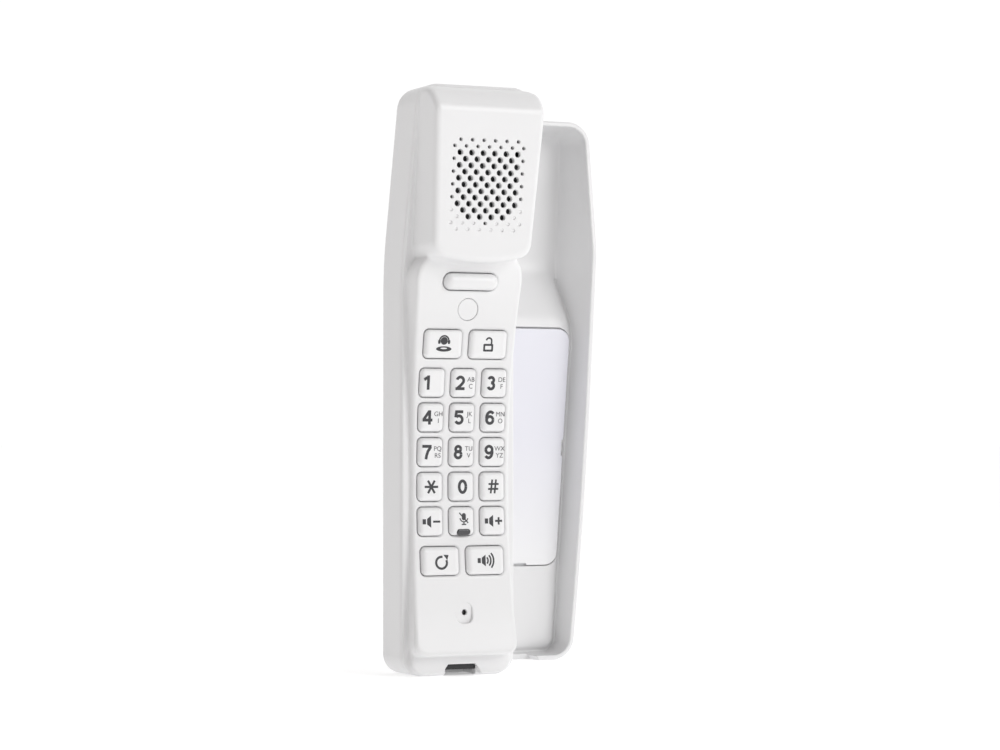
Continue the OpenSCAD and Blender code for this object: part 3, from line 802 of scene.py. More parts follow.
@dataclass(frozen=True)
class Handset:
    """The handset's mouldings, keys and legends."""

    unit: Unit
    height: float
    width: float = 43.0
    depth: float = 17.0
    corner: float = 7.0
    bend_z: float = 140.0
    lean_deg: float = 12.9
    bend_radius: float = 90.0
    flange: float = 1.6
    wall: float = 1.9
    seam: float = 0.35
    face_radius: float = 300.0
    face_rise: float = 3.5
    face_z: float = 68.0
    panel_half: float = 18.6
    panel_flare: float = 1500.0
    panel_low: float = 7.2
    ledge_half: float = 19.0
    ledge_rise: float = 4.5
    ear_low: float = 143.8
    ear_circle: float = 65.4
    ear_face_z: float = 196.0
    ear_rise: float = 29.4
    ear_lean_deg: float = 8.1
    ear_spread: float = 0.0444
    ear_spread_z: float = 146.5
    ear_corner: float = 4.6
    roof_radius: float = 16.0
    roof_axis_y: float = -15.15
    roof_axis_z: float = 188.8
    grille_z: float = 170.1
    grille_pitch: float = 4.35
    hole_radius: float = 1.0
    small_hole_radius: float = 0.6
    dimple_radius: float = 0.55
    dimple_depth: float = 0.35
    key_height: float = 9.9
    key_corner: float = 1.65
    key_gap: float = 0.2
    key_proud: float = 1.35
    hook_z: float = 137.5
    hook_width: float = 20.2
    hook_height: float = 5.8
    hook_proud: float = 2.7
    screw_z: float = 127.9
    cap_radius: float = 3.8
    mic_z: float = 22.2
    lens_x: float = 0.3
    lens_z: float = 50.1

    @property
    def slope(self) -> float:
        """Forward lean of the earpiece end, as a slope."""
        return math.tan(math.radians(self.lean_deg))

    def face_y(self, z: float) -> float:
        """Depth of the hollow face at a height."""
        return -self.face_rise - self.face_radius + math.sqrt(self.face_radius**2 - (z - self.face_z) ** 2)

    def behind_face(self, proud: float) -> Solid:
        """Everything behind the hollow face, or behind a surface that stands proud of it."""
        return behind_barrel(self.face_radius - proud, -self.face_rise - self.face_radius, self.face_z)

    def ear_y(self, z: float) -> float:
        """Depth of the earpiece block's face at a height."""
        return -self.ear_rise + (self.ear_face_z - z) * math.tan(math.radians(self.ear_lean_deg))

    def behind_seam(self) -> Solid:
        """Everything behind the parting surface between the two shells."""
        straight = profile_plane(-1.0, 0.0, 0.0, 0.0)
        leaning = profile_plane(-1.0, -self.slope, 0.0, self.bend_z)
        return straight.join(leaning, bend(self.bend_radius, self.lean_deg))

    def envelope(self) -> Solid:
        """The handset's sides and back, endless towards the front."""
        straight = profile_plane(1.0, 0.0, self.depth, 0.0)
        leaning = profile_plane(1.0, self.slope, self.depth, self.bend_z + 4.5)
        back = straight.meet(leaning, bend(self.bend_radius, self.lean_deg))
        sides = upright(0.0, self.height / 2, self.width, self.height, self.corner)
        return sides.meet(back, 1.8)

    def panel(self) -> Solid:
        """The raised keypad panel with its hollow face."""

        def side(p: Array) -> Array:
            """Distance to the panel's flared side."""
            half = self.panel_half + (p[:, 2] - self.face_z) ** 2 / (2 * self.panel_flare)
            return np.abs(p[:, 0]) - half

        foot = profile_plane(0.0, -1.0, 0.0, self.panel_low)
        top = profile_plane(0.0, 1.0, 0.0, self.ear_low + 4)
        face = self.behind_face(0.0)
        return Solid(side).meet(foot, 5.0).meet(top, 11.0).meet(face, 1.6)

    def earpiece(self) -> Solid:
        """The earpiece block."""
        lean = math.tan(math.radians(self.ear_lean_deg))
        face = profile_plane(-1.0, -lean, self.ear_y(self.ear_face_z), self.ear_face_z)

        def roof(p: Array) -> Array:
            """Distance to the block's arched roof."""
            rise = np.maximum(p[:, 2] - self.roof_axis_z, 0.0)
            return np.hypot(p[:, 1] - self.roof_axis_y, rise) - self.roof_radius

        circle_z = self.ear_low + self.ear_circle
        lower = Solid(lambda p: np.hypot(p[:, 0], p[:, 2] - circle_z) - self.ear_circle)

        def side(p: Array) -> Array:
            """Distance to the block's sides, which spread upwards."""
            return np.abs(p[:, 0]) - (self.panel_half + (p[:, 2] - self.ear_spread_z) * self.ear_spread)

        inset = upright(0.0, self.height / 2, self.width - 0.4, self.height - 0.6, self.ear_corner)
        front_view = Solid(side).meet(lower, 4.0).meet(inset, 0.5)
        return front_view.meet(face.meet(Solid(roof), 1.2), 2.4)

    def front_body(self) -> Solid:
        """The front shell as a full solid: flange, panel, earpiece block and foot ledge."""
        outline = upright(0.0, self.height / 2, self.width, self.height, self.corner)
        flange = outline.meet(self.behind_seam().grow(self.flange), 0.9)
        ledge_height = self.panel_low + 8
        ledge = upright(0.0, 0.4 + ledge_height / 2, 2 * self.ledge_half, ledge_height, 5.0)
        ledge = ledge.meet(profile_plane(-1.0, 0.0, -self.ledge_rise, 0.0), 1.2)
        ledge = ledge.meet(profile_plane(0.0, 1.0, 0.0, self.panel_low + 4))
        raised = self.panel().join(self.earpiece(), 1.6).join(ledge, 0.8)
        return flange.join(raised, 0.9)

    def body(self) -> Solid:
        """The whole closed handset."""
        return self.front_body().meet(self.envelope())

    def key_places(self) -> dict[str, tuple[float, float, float]]:
        """Each key's x, z and width, from the frame."""
        places = {}
        for name in LEGENDS:
            low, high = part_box(name)
            x = ((low.x + high.x) / 2 - self.unit.origin.x) / MM
            z = ((low.z + high.z) / 2 - self.unit.origin.z) / MM
            places[name] = (x, z, (high.x - low.x) / MM)
        return places

    def grille(self) -> tuple[list[tuple[float, float, float]], list[tuple[float, float, float]]]:
        """The sound holes, and the blind dimples round them, each as x, z and radius."""
        holes, dimples = [], []
        for row in range(15):
            count = 6 if row % 2 == 0 else 7
            z = self.grille_z + (7 - row) * self.grille_pitch / 2
            for i in range(count):
                x = (i - (count - 1) / 2) * self.grille_pitch
                end = i in (0, count - 1)
                odd = count == 7
                if 1 < row < 13 and not (end and odd) and not (end and row == 12):
                    holes.append((x, z, self.hole_radius))
                elif row < 2 or (end and odd and row < 11) or (row == 13 and i == 3):
                    holes.append((x, z, self.small_hole_radius))
                else:
                    dimples.append((x, z, self.dimple_radius))
        return holes, dimples

    def shell_cuts(self, solid: Solid) -> Solid:
        """A shell with the room for the cord's socket taken out of its foot."""
        socket = block((-5.8, -2.95, -2.0), (5.8, 7.0, 15.0))
        return solid.cut_near(socket, (0.0, 6.5), (8.0, 10.5), (-4.4, 9.0))

    def front_shell(self) -> Solid:
        """The front shell with its openings."""
        body = self.body()
        shell = self.front_body().cut(self.behind_seam(), self.seam).cut(body.grow(-self.wall))
        for x, z, width in self.key_places().values():
            gap = 2 * self.key_gap
            opening = upright(x, z, width + gap, self.key_height + gap, self.key_corner + 0.25)
            reach = width / 2 + 2, self.key_height / 2 + 2
            shell = shell.cut_near(opening, (x, z), reach, (-15.0, 3.0), 1.1)
        holes, dimples = self.grille()
        ear_slope = math.tan(math.radians(self.ear_lean_deg))
        ear_face = profile_plane(-1.0, -ear_slope, self.ear_y(self.grille_z), self.grille_z)
        shallow = lattice(dimples, -60.0, 30.0).meet(ear_face.grow(-self.dimple_depth).inverse())
        for cutter in (lattice(holes, -60.0, 30.0), shallow):
            shell = shell.cut_near(cutter, (0.0, self.grille_z), (17.0, 19.0), (-30.0, -6.0), 0.3)
        hook = upright(0.0, self.hook_z, self.hook_width + 0.4, self.hook_height + 0.4, 3.0)
        shell = shell.cut_near(hook, (0.0, self.hook_z), (13.0, 6.0), (-30.0, 3.0), 0.9)
        cap = rod(0.0, self.screw_z, self.cap_radius + 0.08)
        shell = shell.cut_near(cap, (0.0, self.screw_z), (6.0, 6.0), (-30.0, 3.0), 0.3)
        slope = half_space((-0.13, 1.0, 0.0), (2.8, self.face_y(self.mic_z) + 0.75, 0.0))
        scoop = upright(-0.2, self.mic_z - 0.3, 6.0, 7.0, 2.2).meet(slope)
        shell = shell.cut_near(scoop, (0.0, self.mic_z), (6.0, 6.0), (-30.0, 0.5), 0.5)
        hole = rod(0.0, self.mic_z, 1.0)
        shell = shell.cut_near(hole, (0.0, self.mic_z), (3.0, 3.0), (-30.0, 3.0), 0.3)
        notch = Solid(lambda p: np.maximum(np.abs(p[:, 0]) - (8.0 - 0.7 * p[:, 2]), p[:, 2] - 4.0))
        notch = notch.meet(profile_plane(1.0, 0.0, -2.9, 0.0))
        shell = shell.cut_near(notch, (0.0, 1.5), (10.0, 5.5), (-9.0, 0.0), 0.5)
        return self.shell_cuts(shell)

    def rear_shell(self) -> Solid:
        """The rear shell, hollow, with its screw post."""
        body = self.body()
        post = rod(0.0, self.screw_z, 3.6, 5.0, self.depth - 1)
        hollow = body.grow(-self.wall).cut(post)
        shell = self.envelope().meet(self.behind_seam(), self.seam).cut(hollow)
        bore = rod(0.0, self.screw_z, 1.55, -10.0, self.depth - 3)
        shell = shell.cut_near(bore, (0.0, self.screw_z), (5.0, 5.0), (-3.0, self.depth - 1))
        return self.shell_cuts(shell)

    def key(self, x: float, z: float, width: float) -> Solid:
        """One key: a cap with soft edges, on two catches behind the panel."""
        top = self.behind_face(self.key_proud)
        cap = upright(x, z, width, self.key_height, self.key_corner).meet(top, 2.0)
        cap = cap.meet(profile_plane(1.0, 0.0, 0.0, 0.0))
        half_w, half_h = width / 2 - 2, self.key_height / 2 + 0.55
        return cap.join(block((x - half_w, -1.0, z - half_h), (x + half_w, 0.0, z + half_h), 0.15))

    def build(self, wardrobe: Wardrobe, quick: bool) -> None:
        """Makes and dresses the handset's pieces.

        Args:
            wardrobe: Gives the finishes.
            quick: True for coarse meshes.
        """
        half = self.width / 2
        front_step = 0.5 if quick else 0.3
        low, high = (-half, -self.ear_rise - 1, 0.0), (half, 1.0, self.height)
        front = Mould(front_step, 0.3).make("handset_front", self.unit, self.front_shell(), low, high)
        wardrobe.fit(front, Dress.HANDSET, "handset", "handset_front_shell")
        low, high = (-half, self.face_y(self.height) - 6, 0.0), (half, self.depth, self.height)
        mould = Mould(0.7 if quick else 0.5, 0.25)
        rear = mould.make("handset_rear", self.unit, self.rear_shell(), low, high)
        wardrobe.fit(rear, Dress.HANDSET, "handset", "handset_rear_shell")
        self.build_keys(wardrobe, quick)
        self.build_hook(wardrobe)
        self.build_cap(wardrobe)
        self.build_lens(wardrobe)

    def build_keys(self, wardrobe: Wardrobe, quick: bool) -> None:
        """Makes the keys and prints their legends."""
        mould = Mould(0.4 if quick else 0.28, 0.5)
        printer = Printer(self, wardrobe)
        for name, (x, z, width) in self.key_places().items():
            reach = width / 2, self.key_height / 2 + 0.6
            low = (x - reach[0], self.face_y(z) - self.key_proud - 1.05, z - reach[1])
            high = (x + reach[0], 0.0, z + reach[1])
            solid = self.key(x, z, width)
            if name == "key_mute":
                seat = upright(self.lens_x, self.lens_z, 5.1, 2.2, 1.0)
                solid = solid.cut(seat.meet(profile_plane(1.0, 0.0, self.face_y(z) - 0.2, 0.0)))
            piece = mould.make(name + "_cap_moulding", self.unit, solid, low, high)
            wardrobe.fit(piece, Dress.KEYS, name + "_cap", name)
            printer.print_legend(name, x, z)

    def build_hook(self, wardrobe: Wardrobe) -> None:
        """Makes the hook button."""
        front = self.face_y(self.hook_z) - self.hook_proud
        half_w, half_h = self.hook_width / 2 + 0.9, self.hook_height / 2 + 0.6
        solid = upright(0.0, self.hook_z, self.hook_width, self.hook_height, 2.8)
        solid = solid.meet(profile_plane(-1.0, 0.0, front, 0.0), 3.0)
        solid = solid.meet(profile_plane(1.0, 0.0, -8.4, 0.0))
        flange = block((-half_w, -8.41, self.hook_z - half_h), (half_w, -7.31, self.hook_z + half_h), 0.2)
        stem = block((-1.6, -7.5, self.hook_z - 1.6), (1.6, -4.8, self.hook_z + 1.6), 0.3)
        low, high = (-half_w, front, self.hook_z - half_h), (half_w, -4.8, self.hook_z + half_h)
        piece = Mould(0.28, 0.5).make("hook_bar", self.unit, solid.join(flange).join(stem), low, high)
        wardrobe.fit(piece, Dress.HANDSET, "hook", "hook_button")

    def build_cap(self, wardrobe: Wardrobe) -> None:
        """Makes the screw's cap, which lies flush in the panel."""
        face = self.behind_face(-0.1)
        cap = rod(0.0, self.screw_z, self.cap_radius, -30.0, -7.2).meet(face, 0.5)
        low = (-self.cap_radius, self.face_y(self.screw_z) - 1, self.screw_z - self.cap_radius)
        high = (self.cap_radius, -7.2, self.screw_z + self.cap_radius)
        piece = Mould(0.25, 0.5).make("screw_plug", self.unit, cap, low, high)
        wardrobe.fit(piece, Dress.HANDSET, "handset", "screw_cap")

    def build_lens(self, wardrobe: Wardrobe) -> None:
        """Makes the smoked lens below the microphone sign."""
        front = self.face_y(self.lens_z) - self.key_proud - 0.12
        lens = upright(self.lens_x, self.lens_z, 5.0, 2.1, 0.95)
        lens = lens.meet(profile_plane(-1.0, 0.0, front, 0.0), 0.5)
        lens = lens.meet(profile_plane(1.0, 0.0, self.face_y(self.lens_z) - 0.25, 0.0))
        low = (self.lens_x - 2.6, front, self.lens_z - 1.2)
        high = (self.lens_x + 2.6, front + 1.2, self.lens_z + 1.2)
        piece = Mould(0.12, 0.6).make("mute_window", self.unit, lens, low, high)
        wardrobe.fit(piece, Dress.LENS, "key_mute_cap", "mute_lens")


class Printer:
    """Prints the legends on the keys, as thin plates that follow the key tops."""

    thickness = 0.07
    letter_size = 2.3
    letter_x = 2.3
    letter_rows = (1.15, -1.25)
    sign_scale = 1.08

    def __init__(self, handset: Handset, wardrobe: Wardrobe) -> None:
        """Keeps the handset that is printed on and the finishes."""
        self.handset = handset
        self.wardrobe = wardrobe

    def plate(self, curve: bpy.types.Curve) -> bpy.types.Mesh:
        """Closed plate mesh of a filled curve, in its own plane, in millimetres."""
        curve.fill_mode = "BOTH"
        curve.extrude = self.thickness / 2
        holder = bpy.data.objects.new("holder", curve)
        bpy.context.scene.collection.objects.link(holder)
        graph = bpy.context.evaluated_depsgraph_get()
        mesh = bpy.data.meshes.new_from_object(holder.evaluated_get(graph))
        bpy.data.objects.remove(holder)
        return mesh

    def sign_plate(self, outlines: list[Outline]) -> bpy.types.Mesh:
        """Closed plate of one outline and its holes."""
        curve = bpy.data.curves.new("sign", "CURVE")
        curve.dimensions = "2D"
        for outline in outlines:
            line = curve.splines.new("POLY")
            line.points.add(len(outline) - 1)
            for point, (x, z) in zip(line.points, outline):
                point.co = (x * self.sign_scale, z * self.sign_scale, 0.0, 1.0)
            line.use_cyclic_u = True
        return self.plate(curve)

    def text_plate(self, text: str) -> bpy.types.Mesh:
        """Closed plate of a few small letters."""
        curve = bpy.data.curves.new("text", "FONT")
        curve.body = text
        curve.size = self.letter_size
        curve.align_x = "CENTER"
        curve.align_y = "CENTER"
        return self.plate(curve)

    def lay(
        self, name: str, plates: list[bpy.types.Mesh], places: list[Pair], body: str, ink: Dress
    ) -> None:
        """Joins flat plates into one piece and lays it on the key tops.

        Args:
            name: Name of the piece.
            plates: The plates.
            places: Where each plate's own origin goes, as x and z.
            body: The key's body.
            ink: The finish of the print.
        """
        hand = self.handset
        radius = hand.face_radius - hand.key_proud
        points, faces, start = [], [], 0
        for layer, (mesh, (x, z)) in enumerate(zip(plates, places)):
            flat = np.zeros(len(mesh.vertices) * 3)
            mesh.vertices.foreach_get("co", flat)
            flat = flat.reshape(-1, 3)
            up = flat[:, 1] + z
            top = -hand.face_rise - hand.face_radius + np.sqrt(radius**2 - (up - hand.face_z) ** 2)
            lift = flat[:, 2] + 0.003 * layer
            points.append(np.stack([flat[:, 0] + x, top - lift, up], axis=1))
            faces += [[start + v for v in polygon.vertices] for polygon in mesh.polygons]
            start += len(flat)
        made = bpy.data.meshes.new(name)
        made.from_pydata(hand.unit.place(np.concatenate(points)).tolist(), [], faces)
        made.validate()
        piece = bpy.data.objects.new(name, made)
        bpy.context.scene.collection.objects.link(piece)
        self.wardrobe.fit(piece, ink, body)

    def print_legend(self, key: str, x: float, z: float) -> None:
        """Prints one key's legend.

        Args:
            key: The key's name.
            x: Centre of the key.
            z: Height of its centre.
        """
        legend = LEGENDS[key]
        plates = [self.sign_plate(outlines) for outlines in legend.sign()]
        place = (x + legend.x, z + legend.z)
        self.lay(key + "_sign", plates, [place] * len(plates), key + "_cap", Dress.LEGEND)
        if legend.letters:
            plates = [self.text_plate(text) for text in legend.letters]
            places = [(x + self.letter_x, z + row) for row in self.letter_rows]
            self.lay(key + "_letters", plates, places, key + "_cap", Dress.LETTERS)


# ---------- the base ----------


@dataclass(frozen=True)
class Base:
    """The wall base's mouldings and its card window."""

    unit: Unit
    height: float
    width: float = 43.0
    corner: float = 8.0
    foot_depth: float = 13.5
    lean_deg: float = 7.75
    peak_z: float = 152.0
    rim_bulge: float = 3.2
    bulge_z: float = 60.0
    bulge_radius: float = 1200.0
    peak_radius: float = 25.0
    back_deg: float = 8.5
    rim: float = 1.8
    draft: float = 0.26
    draft_start: float = 6.0
    bed_depth: float = 8.5
    bed_top_z: float = 124.0
    well_y: float = -11.0
    well_z: float = 147.0
    cover: float = 2.5
    seam: float = 0.35
    window_z: float = 79.5
    window_width: float = 33.0
    window_height: float = 89.0
    window_corner: float = 5.0
    window_seat: float = 1.7
    post_x: float = 14.5
    post_heights: Pair = (32.0, 188.0)
    board_screw_x: float = 13.0
    board_screw_z: float = 138.0
    keyhole_z: float = 119.0
    keyhole_pitch: float = 83.0
    keyhole_length: float = 18.0
    keyhole_radius: float = 2.2
    speaker_z: float = 183.0

    @property
    def slope(self) -> float:
        """Forward lean of the rim, as a slope."""
        return math.tan(math.radians(self.lean_deg))

    def bed_y(self, z: float) -> float:
        """Depth of the bed at a height."""
        return self.bed_depth - self.foot_depth - z * self.slope

    def outline(self, inset: float) -> Solid:
        """The base's front view, drawn in by inset."""
        width, height = self.width - 2 * inset, self.height - 2 * inset
        return upright(0.0, self.height / 2, width, height, self.corner - inset)

    def screw_places(self) -> list[Pair]:
        """Where the four cover screws are, as x and z."""
        return [(x, z) for x in (-self.post_x, self.post_x) for z in self.post_heights]

    def bed(self) -> Solid:
        """Everything behind the bed, the shoulder above it and the earpiece well's floor."""
        shoulder_y = self.well_y - self.bed_y(self.bed_top_z)
        shoulder_z = self.well_z - self.bed_top_z
        bed = profile_plane(-1.0, -self.slope, self.bed_y(0.0), 0.0)
        floor = profile_plane(-1.0, 0.0, self.well_y, 0.0)
        shoulder = profile_plane(-shoulder_z, shoulder_y, self.well_y, self.well_z)
        turn = math.degrees(math.atan2(shoulder_y, shoulder_z))
        behind = floor.join(shoulder, bend(18.0, turn))
        return bed.meet(behind, bend(22.0, turn + self.lean_deg))

    def front_shell(self) -> Solid:
        """The base's front shell."""
        peak_y = -self.foot_depth - self.peak_z * self.slope
        bulge_y = -self.foot_depth - self.bulge_z * self.slope - self.rim_bulge
        foot_slope = (-self.foot_depth - bulge_y) / self.bulge_z
        high_slope = (bulge_y - peak_y) / (self.peak_z - self.bulge_z)
        foot = profile_plane(-1.0, -foot_slope, bulge_y, self.bulge_z)
        lower = profile_plane(-1.0, -high_slope, peak_y, self.peak_z)
        upper = profile_plane(-1.0, math.tan(math.radians(self.back_deg)), peak_y, self.peak_z)
        turn = math.degrees(math.atan(foot_slope) - math.atan(high_slope))
        front = foot.meet(lower, bend(self.bulge_radius, turn))
        front = front.meet(upper, bend(self.peak_radius, self.lean_deg + self.back_deg))
        bed = self.bed()
        straight = self.outline(self.rim)

        def drafted(p: Array) -> Array:
            """Distance to the inner walls, which draw in below the bed's depth."""
            below = -front.distance(p) - self.bed_depth
            return straight.distance(p) + self.draft * soft_max(below, np.zeros(len(p)), self.draft_start)

        inner = Solid(drafted)
        walls = self.outline(0.0).meet(front, 0.7).cut(inner, 0.5)
        pillow = bed.meet(inner.grow(-0.25), 5.5)
        web = bed.grow(-2.3).meet(self.outline(0.5))
        floor = profile_plane(-1.0, 0.0, self.well_y, 0.0).meet(self.outline(0.5))
        above = profile_plane(0.0, -1.0, 0.0, self.well_z - 4)
        floor = floor.meet(above).meet(bed, 0.0)
        solid = walls.join(pillow, 0.3).join(web, 0.4).join(floor, 1.0)
        hollow = bed.grow(-3.5).meet(straight, 2.0)
        for x, z in self.screw_places():
            hollow = hollow.cut(rod(x, z, 3.0, -30.0, 0.0))
        solid = solid.cut(hollow)
        for x, z in self.screw_places():
            solid = solid.cut_near(rod(x, z, 1.25, -6.6, 5.0), (x, z), (5.0, 5.0), (-8.0, 2.0))
        solid = solid.meet(profile_plane(1.0, 0.0, -self.cover, 0.0), self.seam)
        normal = Vector((0.0, math.cos(math.radians(self.lean_deg)), math.sin(math.radians(self.lean_deg))))
        centre = Vector((0.0, self.bed_y(self.window_z), self.window_z))
        seat = self.on_bed(0.35, self.window_corner + 0.2)
        seat = seat.meet(half_space(normal, centre + normal * self.window_seat))
        reach = self.window_width / 2 + 2, self.window_height / 2 + 3
        solid = solid.cut_near(seat, (0.0, self.window_z), reach, (-40.0, 0.0), 0.35)
        notch = Solid(lambda p: np.maximum(np.abs(p[:, 0]) - (7.5 - 0.69 * p[:, 2]), p[:, 2] - 4.2))
        notch = notch.meet(profile_plane(1.0, 0.0, -self.foot_depth + 7.5, 0.0))
        return solid.cut_near(notch, (0.0, 2.0), (10.0, 6.0), (-22.0, -2.0), 0.5)

    def on_bed(self, margin: float, radius: float) -> Solid:
        """Prism square to the bed whose outline is the window's, grown by margin."""
        cosine, sine = math.cos(math.radians(self.lean_deg)), math.sin(math.radians(self.lean_deg))
        y0, z0 = self.bed_y(self.window_z), self.window_z
        half_w, half_h = self.window_width / 2 + margin, self.window_height / 2 + margin

        def distance(p: Array) -> Array:
            """Distance to the outline, measured along the bed."""
            along = (p[:, 2] - z0) * cosine - (p[:, 1] - y0) * sine
            return rounded(np.abs(p[:, 0]) - half_w + radius, np.abs(along) - half_h + radius, radius)

        return Solid(distance)

    def window_plate(self) -> Solid:
        """The clear window cover with its finger notch and lower slot."""
        lean = math.radians(self.lean_deg)
        normal = Vector((0.0, math.cos(lean), math.sin(lean)))
        centre = Vector((0.0, self.bed_y(self.window_z), self.window_z))
        front = half_space(-normal, centre)
        back = half_space(normal, centre + normal * 1.2)
        plate = self.on_bed(0.0, self.window_corner - 0.2).meet(front, 0.5).meet(back)
        half = self.window_width / 2
        notch = upright(half + 0.4, self.window_z, 2.4, 6.0, 0.6)
        plate = plate.cut_near(notch, (half, self.window_z), (4.0, 8.0), (-40.0, 0.0), 0.3)
        low_z = self.window_z - self.window_height / 2 * math.cos(lean)
        slot = upright(0.0, low_z, 8.0, 1.6, 0.5)
        return plate.cut_near(slot, (0.0, low_z), (8.0, 4.0), (-40.0, 0.0), 0.2)

    def keyhole(self, z: float) -> Solid:
        """A double-ended keyhole: a slot with a wide middle."""
        slot = upright(0.0, z, 2 * self.keyhole_radius, self.keyhole_length, self.keyhole_radius)
        return slot.join(rod(0.0, z, 2 * self.keyhole_radius), 0.3)

    def rear_cover(self) -> Solid:
        """The rear cover with its keyholes, cable pocket, cable groove and sound holes."""
        plate = self.outline(0.0).meet(profile_plane(1.0, 0.0, 0.0, 0.0), 1.0)
        plate = plate.meet(profile_plane(-1.0, 0.0, -self.cover, 0.0), self.seam)
        tray = block((-17.2, -13.2, 86.8), (17.2, -0.6, 113.0), 0.4)
        for x in (-self.board_screw_x, self.board_screw_x):
            plate = plate.join(rod(x, self.board_screw_z, 2.6, -4.6, -1.0), 0.4)
        plate = plate.join(tray, 0.4)
        pocket = block((-16.0, -12.0, 88.0), (16.0, 6.0, 113.4), 0.8)
        plate = plate.cut_near(pocket, (0.0, 100.0), (20.0, 16.0), (-14.0, 3.0), 0.5)
        groove = block((-10.1, -1.3, -5.0), (-5.1, 6.0, 90.0), 0.5)
        plate = plate.cut_near(groove, (-7.5, 44.5), (5.5, 48.5), (-4.0, 3.0), 0.4)
        for side in (-1, 1):
            z = self.keyhole_z + side * self.keyhole_pitch / 2
            plate = plate.cut_near(self.keyhole(z), (0.0, z), (8.0, 13.0), (-4.0, 3.0), 0.4)
        for x, z in self.screw_places():
            sink = rod(x, z, 2.8, -1.6, 5.0).join(rod(x, z, 1.5))
            plate = plate.cut_near(sink, (x, z), (5.0, 5.0), (-4.0, 3.0), 0.3)
        for x in (-self.board_screw_x, self.board_screw_x):
            bore = rod(x, self.board_screw_z, 0.95, -20.0, -1.5)
            plate = plate.cut_near(bore, (x, self.board_screw_z), (4.0, 5.0), (-8.0, 1.0))
        pitch = 3.4
        holes = [(c * pitch, self.speaker_z + r * pitch, 0.9) for r in range(-2, 3) for c in range(-2, 3)]
        reach = 3 * pitch, 3 * pitch
        return plate.cut_near(lattice(holes, -20.0, 20.0), (0.0, self.speaker_z), reach, (-4.0, 3.0), 0.3)

    def build(self, wardrobe: Wardrobe, quick: bool) -> None:
        """Makes and dresses the base's pieces.

        Args:
            wardrobe: Gives the finishes.
            quick: True for coarse meshes.
        """
        half = self.width / 2
        deepest = -self.foot_depth - self.peak_z * self.slope
        low, high = (-half, deepest, 0.0), (half, -self.cover, self.height)
        mould = Mould(0.7 if quick else 0.45, 0.25)
        shell = mould.make("base_front", self.unit, self.front_shell(), low, high)
        wardrobe.fit(shell, Dress.BASE, "base", "base_front_shell")
        low, high = (-half, -13.4, 0.0), (half, 0.0, self.height)
        mould = Mould(0.6 if quick else 0.4, 0.25)
        cover = mould.make("base_back", self.unit, self.rear_cover(), low, high)
        wardrobe.fit(cover, Dress.BASE, "base", "base_rear_cover")
        low = (-half, self.bed_y(self.window_z + 50) - 1, self.window_z - 50)
        high = (half, self.bed_y(self.window_z - 50) + 3, self.window_z + 50)
        mould = Mould(0.5 if quick else 0.3, 0.3)
        window = mould.make("card_window", self.unit, self.window_plate(), low, high)
        wardrobe.fit(window, Dress.CLEAR, "card_window", "window_cover")


# ---------- inner pieces, stage and main ----------


CARRIED: dict[str, Dress] = {
    "receiver_capsule": Dress.SPEAKER,
    "receiver_gasket": Dress.FOAM,
    "keypad_membrane": Dress.SILICONE,
    "keypad_board": Dress.BOARD,
    "hook_switch": Dress.BLACK,
    "microphone": Dress.STEEL,
    "microphone_boot": Dress.RUBBER,
    "handset_jack": Dress.BLACK,
    "handset_jack_contacts": Dress.GOLD,
    "ballast_weight": Dress.STEEL,
    "handset_screw": Dress.STEEL,
    "card_insert": Dress.CARD,
    "main_board": Dress.BOARD,
    "main_board_screws": Dress.STEEL,
    "network_jack": Dress.BLACK,
    "network_jack_contacts": Dress.GOLD,
    "cord_jack": Dress.BLACK,
    "cord_jack_contacts": Dress.GOLD,
    "ringer_speaker": Dress.SPEAKER,
    "cover_screws": Dress.STEEL,
}


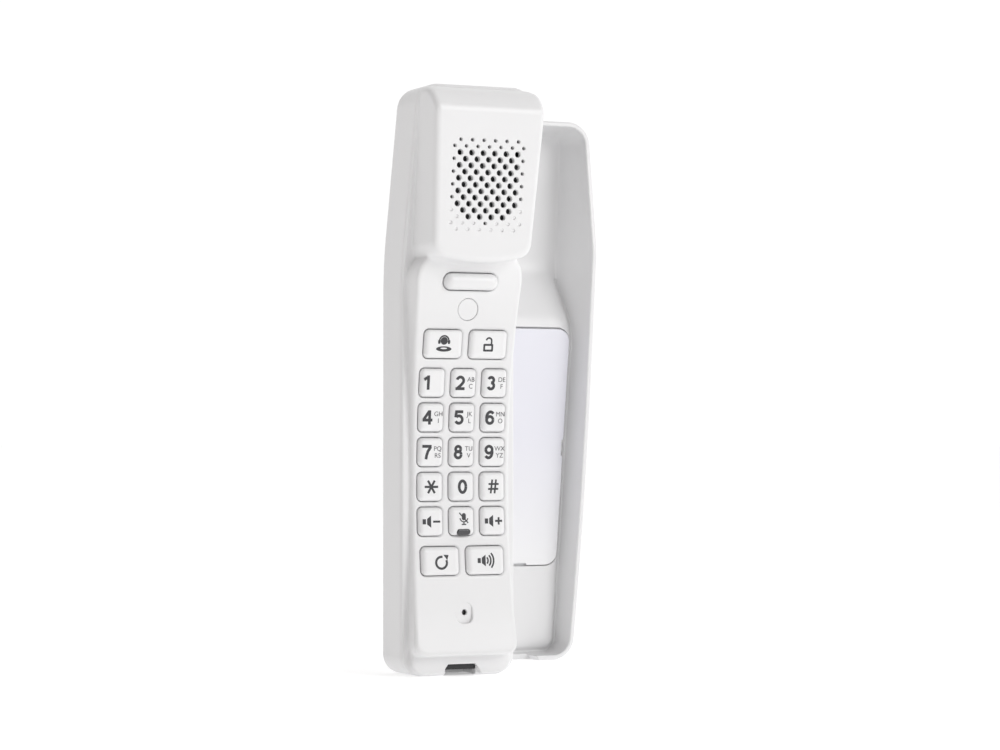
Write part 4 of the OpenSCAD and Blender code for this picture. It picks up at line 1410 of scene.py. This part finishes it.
@dataclass(frozen=True)
class Studio:
    """The floor, the lights and the camera."""

    centre: Vector
    lens: float = 104.4
    heading_deg: float = 25.0
    pitch_deg: float = 1.284
    stand: tuple[float, float, float] = (-0.41747, -0.93119, 0.08234)
    floor_glow: float = 0.385
    bright: Colour = (1.03, 1.03, 1.03)
    dim: Colour = (0.22, 0.203, 0.196)

    def floor(self) -> None:
        """Lays the pale floor."""
        size = 40.0
        corners = [(-size, -size, 0.0), (size, -size, 0.0), (size, size, 0.0), (-size, size, 0.0)]
        mesh = bpy.data.meshes.new("floor")
        mesh.from_pydata(corners, [], [(0, 1, 2, 3)])
        floor = bpy.data.objects.new("floor", mesh)
        bpy.context.scene.collection.objects.link(floor)
        paint = Finish("stage", (0.9, 0.9, 0.9), (0.88, 0.88, 0.88), 0.85, specular=0.1).material("floor")
        shader = next(node for node in paint.node_tree.nodes if node.type == "BSDF_PRINCIPLED")
        shader.inputs["Emission Color"].default_value = (1.0, 1.0, 1.0, 1.0)
        shader.inputs["Emission Strength"].default_value = self.floor_glow
        mesh.materials.append(paint)

    def lamp(self, name: str, place: Sequence[float], aim: Vector, size: float, power: float) -> None:
        """Hangs one soft square lamp and points it."""
        light = bpy.data.lights.new(name, "AREA")
        light.size = size
        light.energy = power
        lamp = bpy.data.objects.new(name, light)
        bpy.context.scene.collection.objects.link(lamp)
        lamp.location = self.centre + Vector(place)
        lamp.rotation_euler = (aim - lamp.location).to_track_quat("-Z", "Y").to_euler()

    def light(self) -> None:
        """Lights the scene softly, from above and from the right."""
        world = bpy.data.worlds.new("studio")
        world.use_nodes = True
        tree = world.node_tree
        place = tree.nodes.new("ShaderNodeTexCoord")
        along = tree.nodes.new("ShaderNodeVectorMath")
        along.operation = "DOT_PRODUCT"
        along.inputs[1].default_value = (0.8, 0.6, 0.0)
        tree.links.new(place.outputs["Generated"], along.inputs[0])
        span = tree.nodes.new("ShaderNodeMapRange")
        span.inputs["From Min"].default_value = -1.0
        span.inputs["From Max"].default_value = 0.7
        tree.links.new(along.outputs["Value"], span.inputs["Value"])
        mix = tree.nodes.new("ShaderNodeMix")
        mix.data_type = "RGBA"
        mix.inputs[6].default_value = (*self.dim, 1.0)
        mix.inputs[7].default_value = (*self.bright, 1.0)
        tree.links.new(span.outputs["Result"], mix.inputs[0])
        tree.links.new(mix.outputs[2], tree.nodes["Background"].inputs["Color"])
        bpy.context.scene.world = world
        self.lamp("key", (0.68, -1.3, 0.62), self.centre, 0.7, 6.6)
        self.lamp("top", (0.1, -0.1, 1.5), self.centre, 1.2, 1.2)
        scene = bpy.context.scene
        scene.view_settings.view_transform = "Standard"

    def camera(self) -> None:
        """Sets up the camera."""
        data = bpy.data.cameras.new("camera")
        data.lens = self.lens
        data.sensor_width = 36.0
        data.clip_start, data.clip_end = 0.05, 50.0
        camera = bpy.data.objects.new("camera", data)
        bpy.context.scene.collection.objects.link(camera)
        camera.location = Vector((self.centre.x, self.centre.y, 0.0)) + Vector(self.stand)
        camera.rotation_euler = (math.radians(90 + self.pitch_deg), 0.0, -math.radians(self.heading_deg))
        bpy.context.scene.camera = camera


def main() -> None:
    """Builds the phone around the frame."""
    logging.basicConfig(level=logging.INFO, format="%(name)s %(message)s")
    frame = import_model()
    wardrobe = Wardrobe()
    low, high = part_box("handset_rear_shell")
    middle = (low.x + high.x) / 2
    handset_unit = Unit(Vector((middle, high.y - Handset.depth * MM, low.z)), "handset")
    handset = Handset(handset_unit, (high.z - low.z) / MM)
    base_low, base_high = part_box("base_rear_cover")
    base_unit = Unit(Vector(((base_low.x + base_high.x) / 2, base_high.y, base_low.z)), "base")
    base = Base(base_unit, (base_high.z - base_low.z) / MM)
    studio = Studio(Vector((middle, handset_unit.origin.y, 0.1)))
    studio.floor()
    studio.light()
    studio.camera()
    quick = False
    handset.build(wardrobe, quick)
    base.build(wardrobe, quick)
    for name, dress in CARRIED.items():
        wardrobe.wear(frame["nodes"][name], dress)
        LOG.info("%s: carried over", name)


if __name__ == "__main__":
    main()
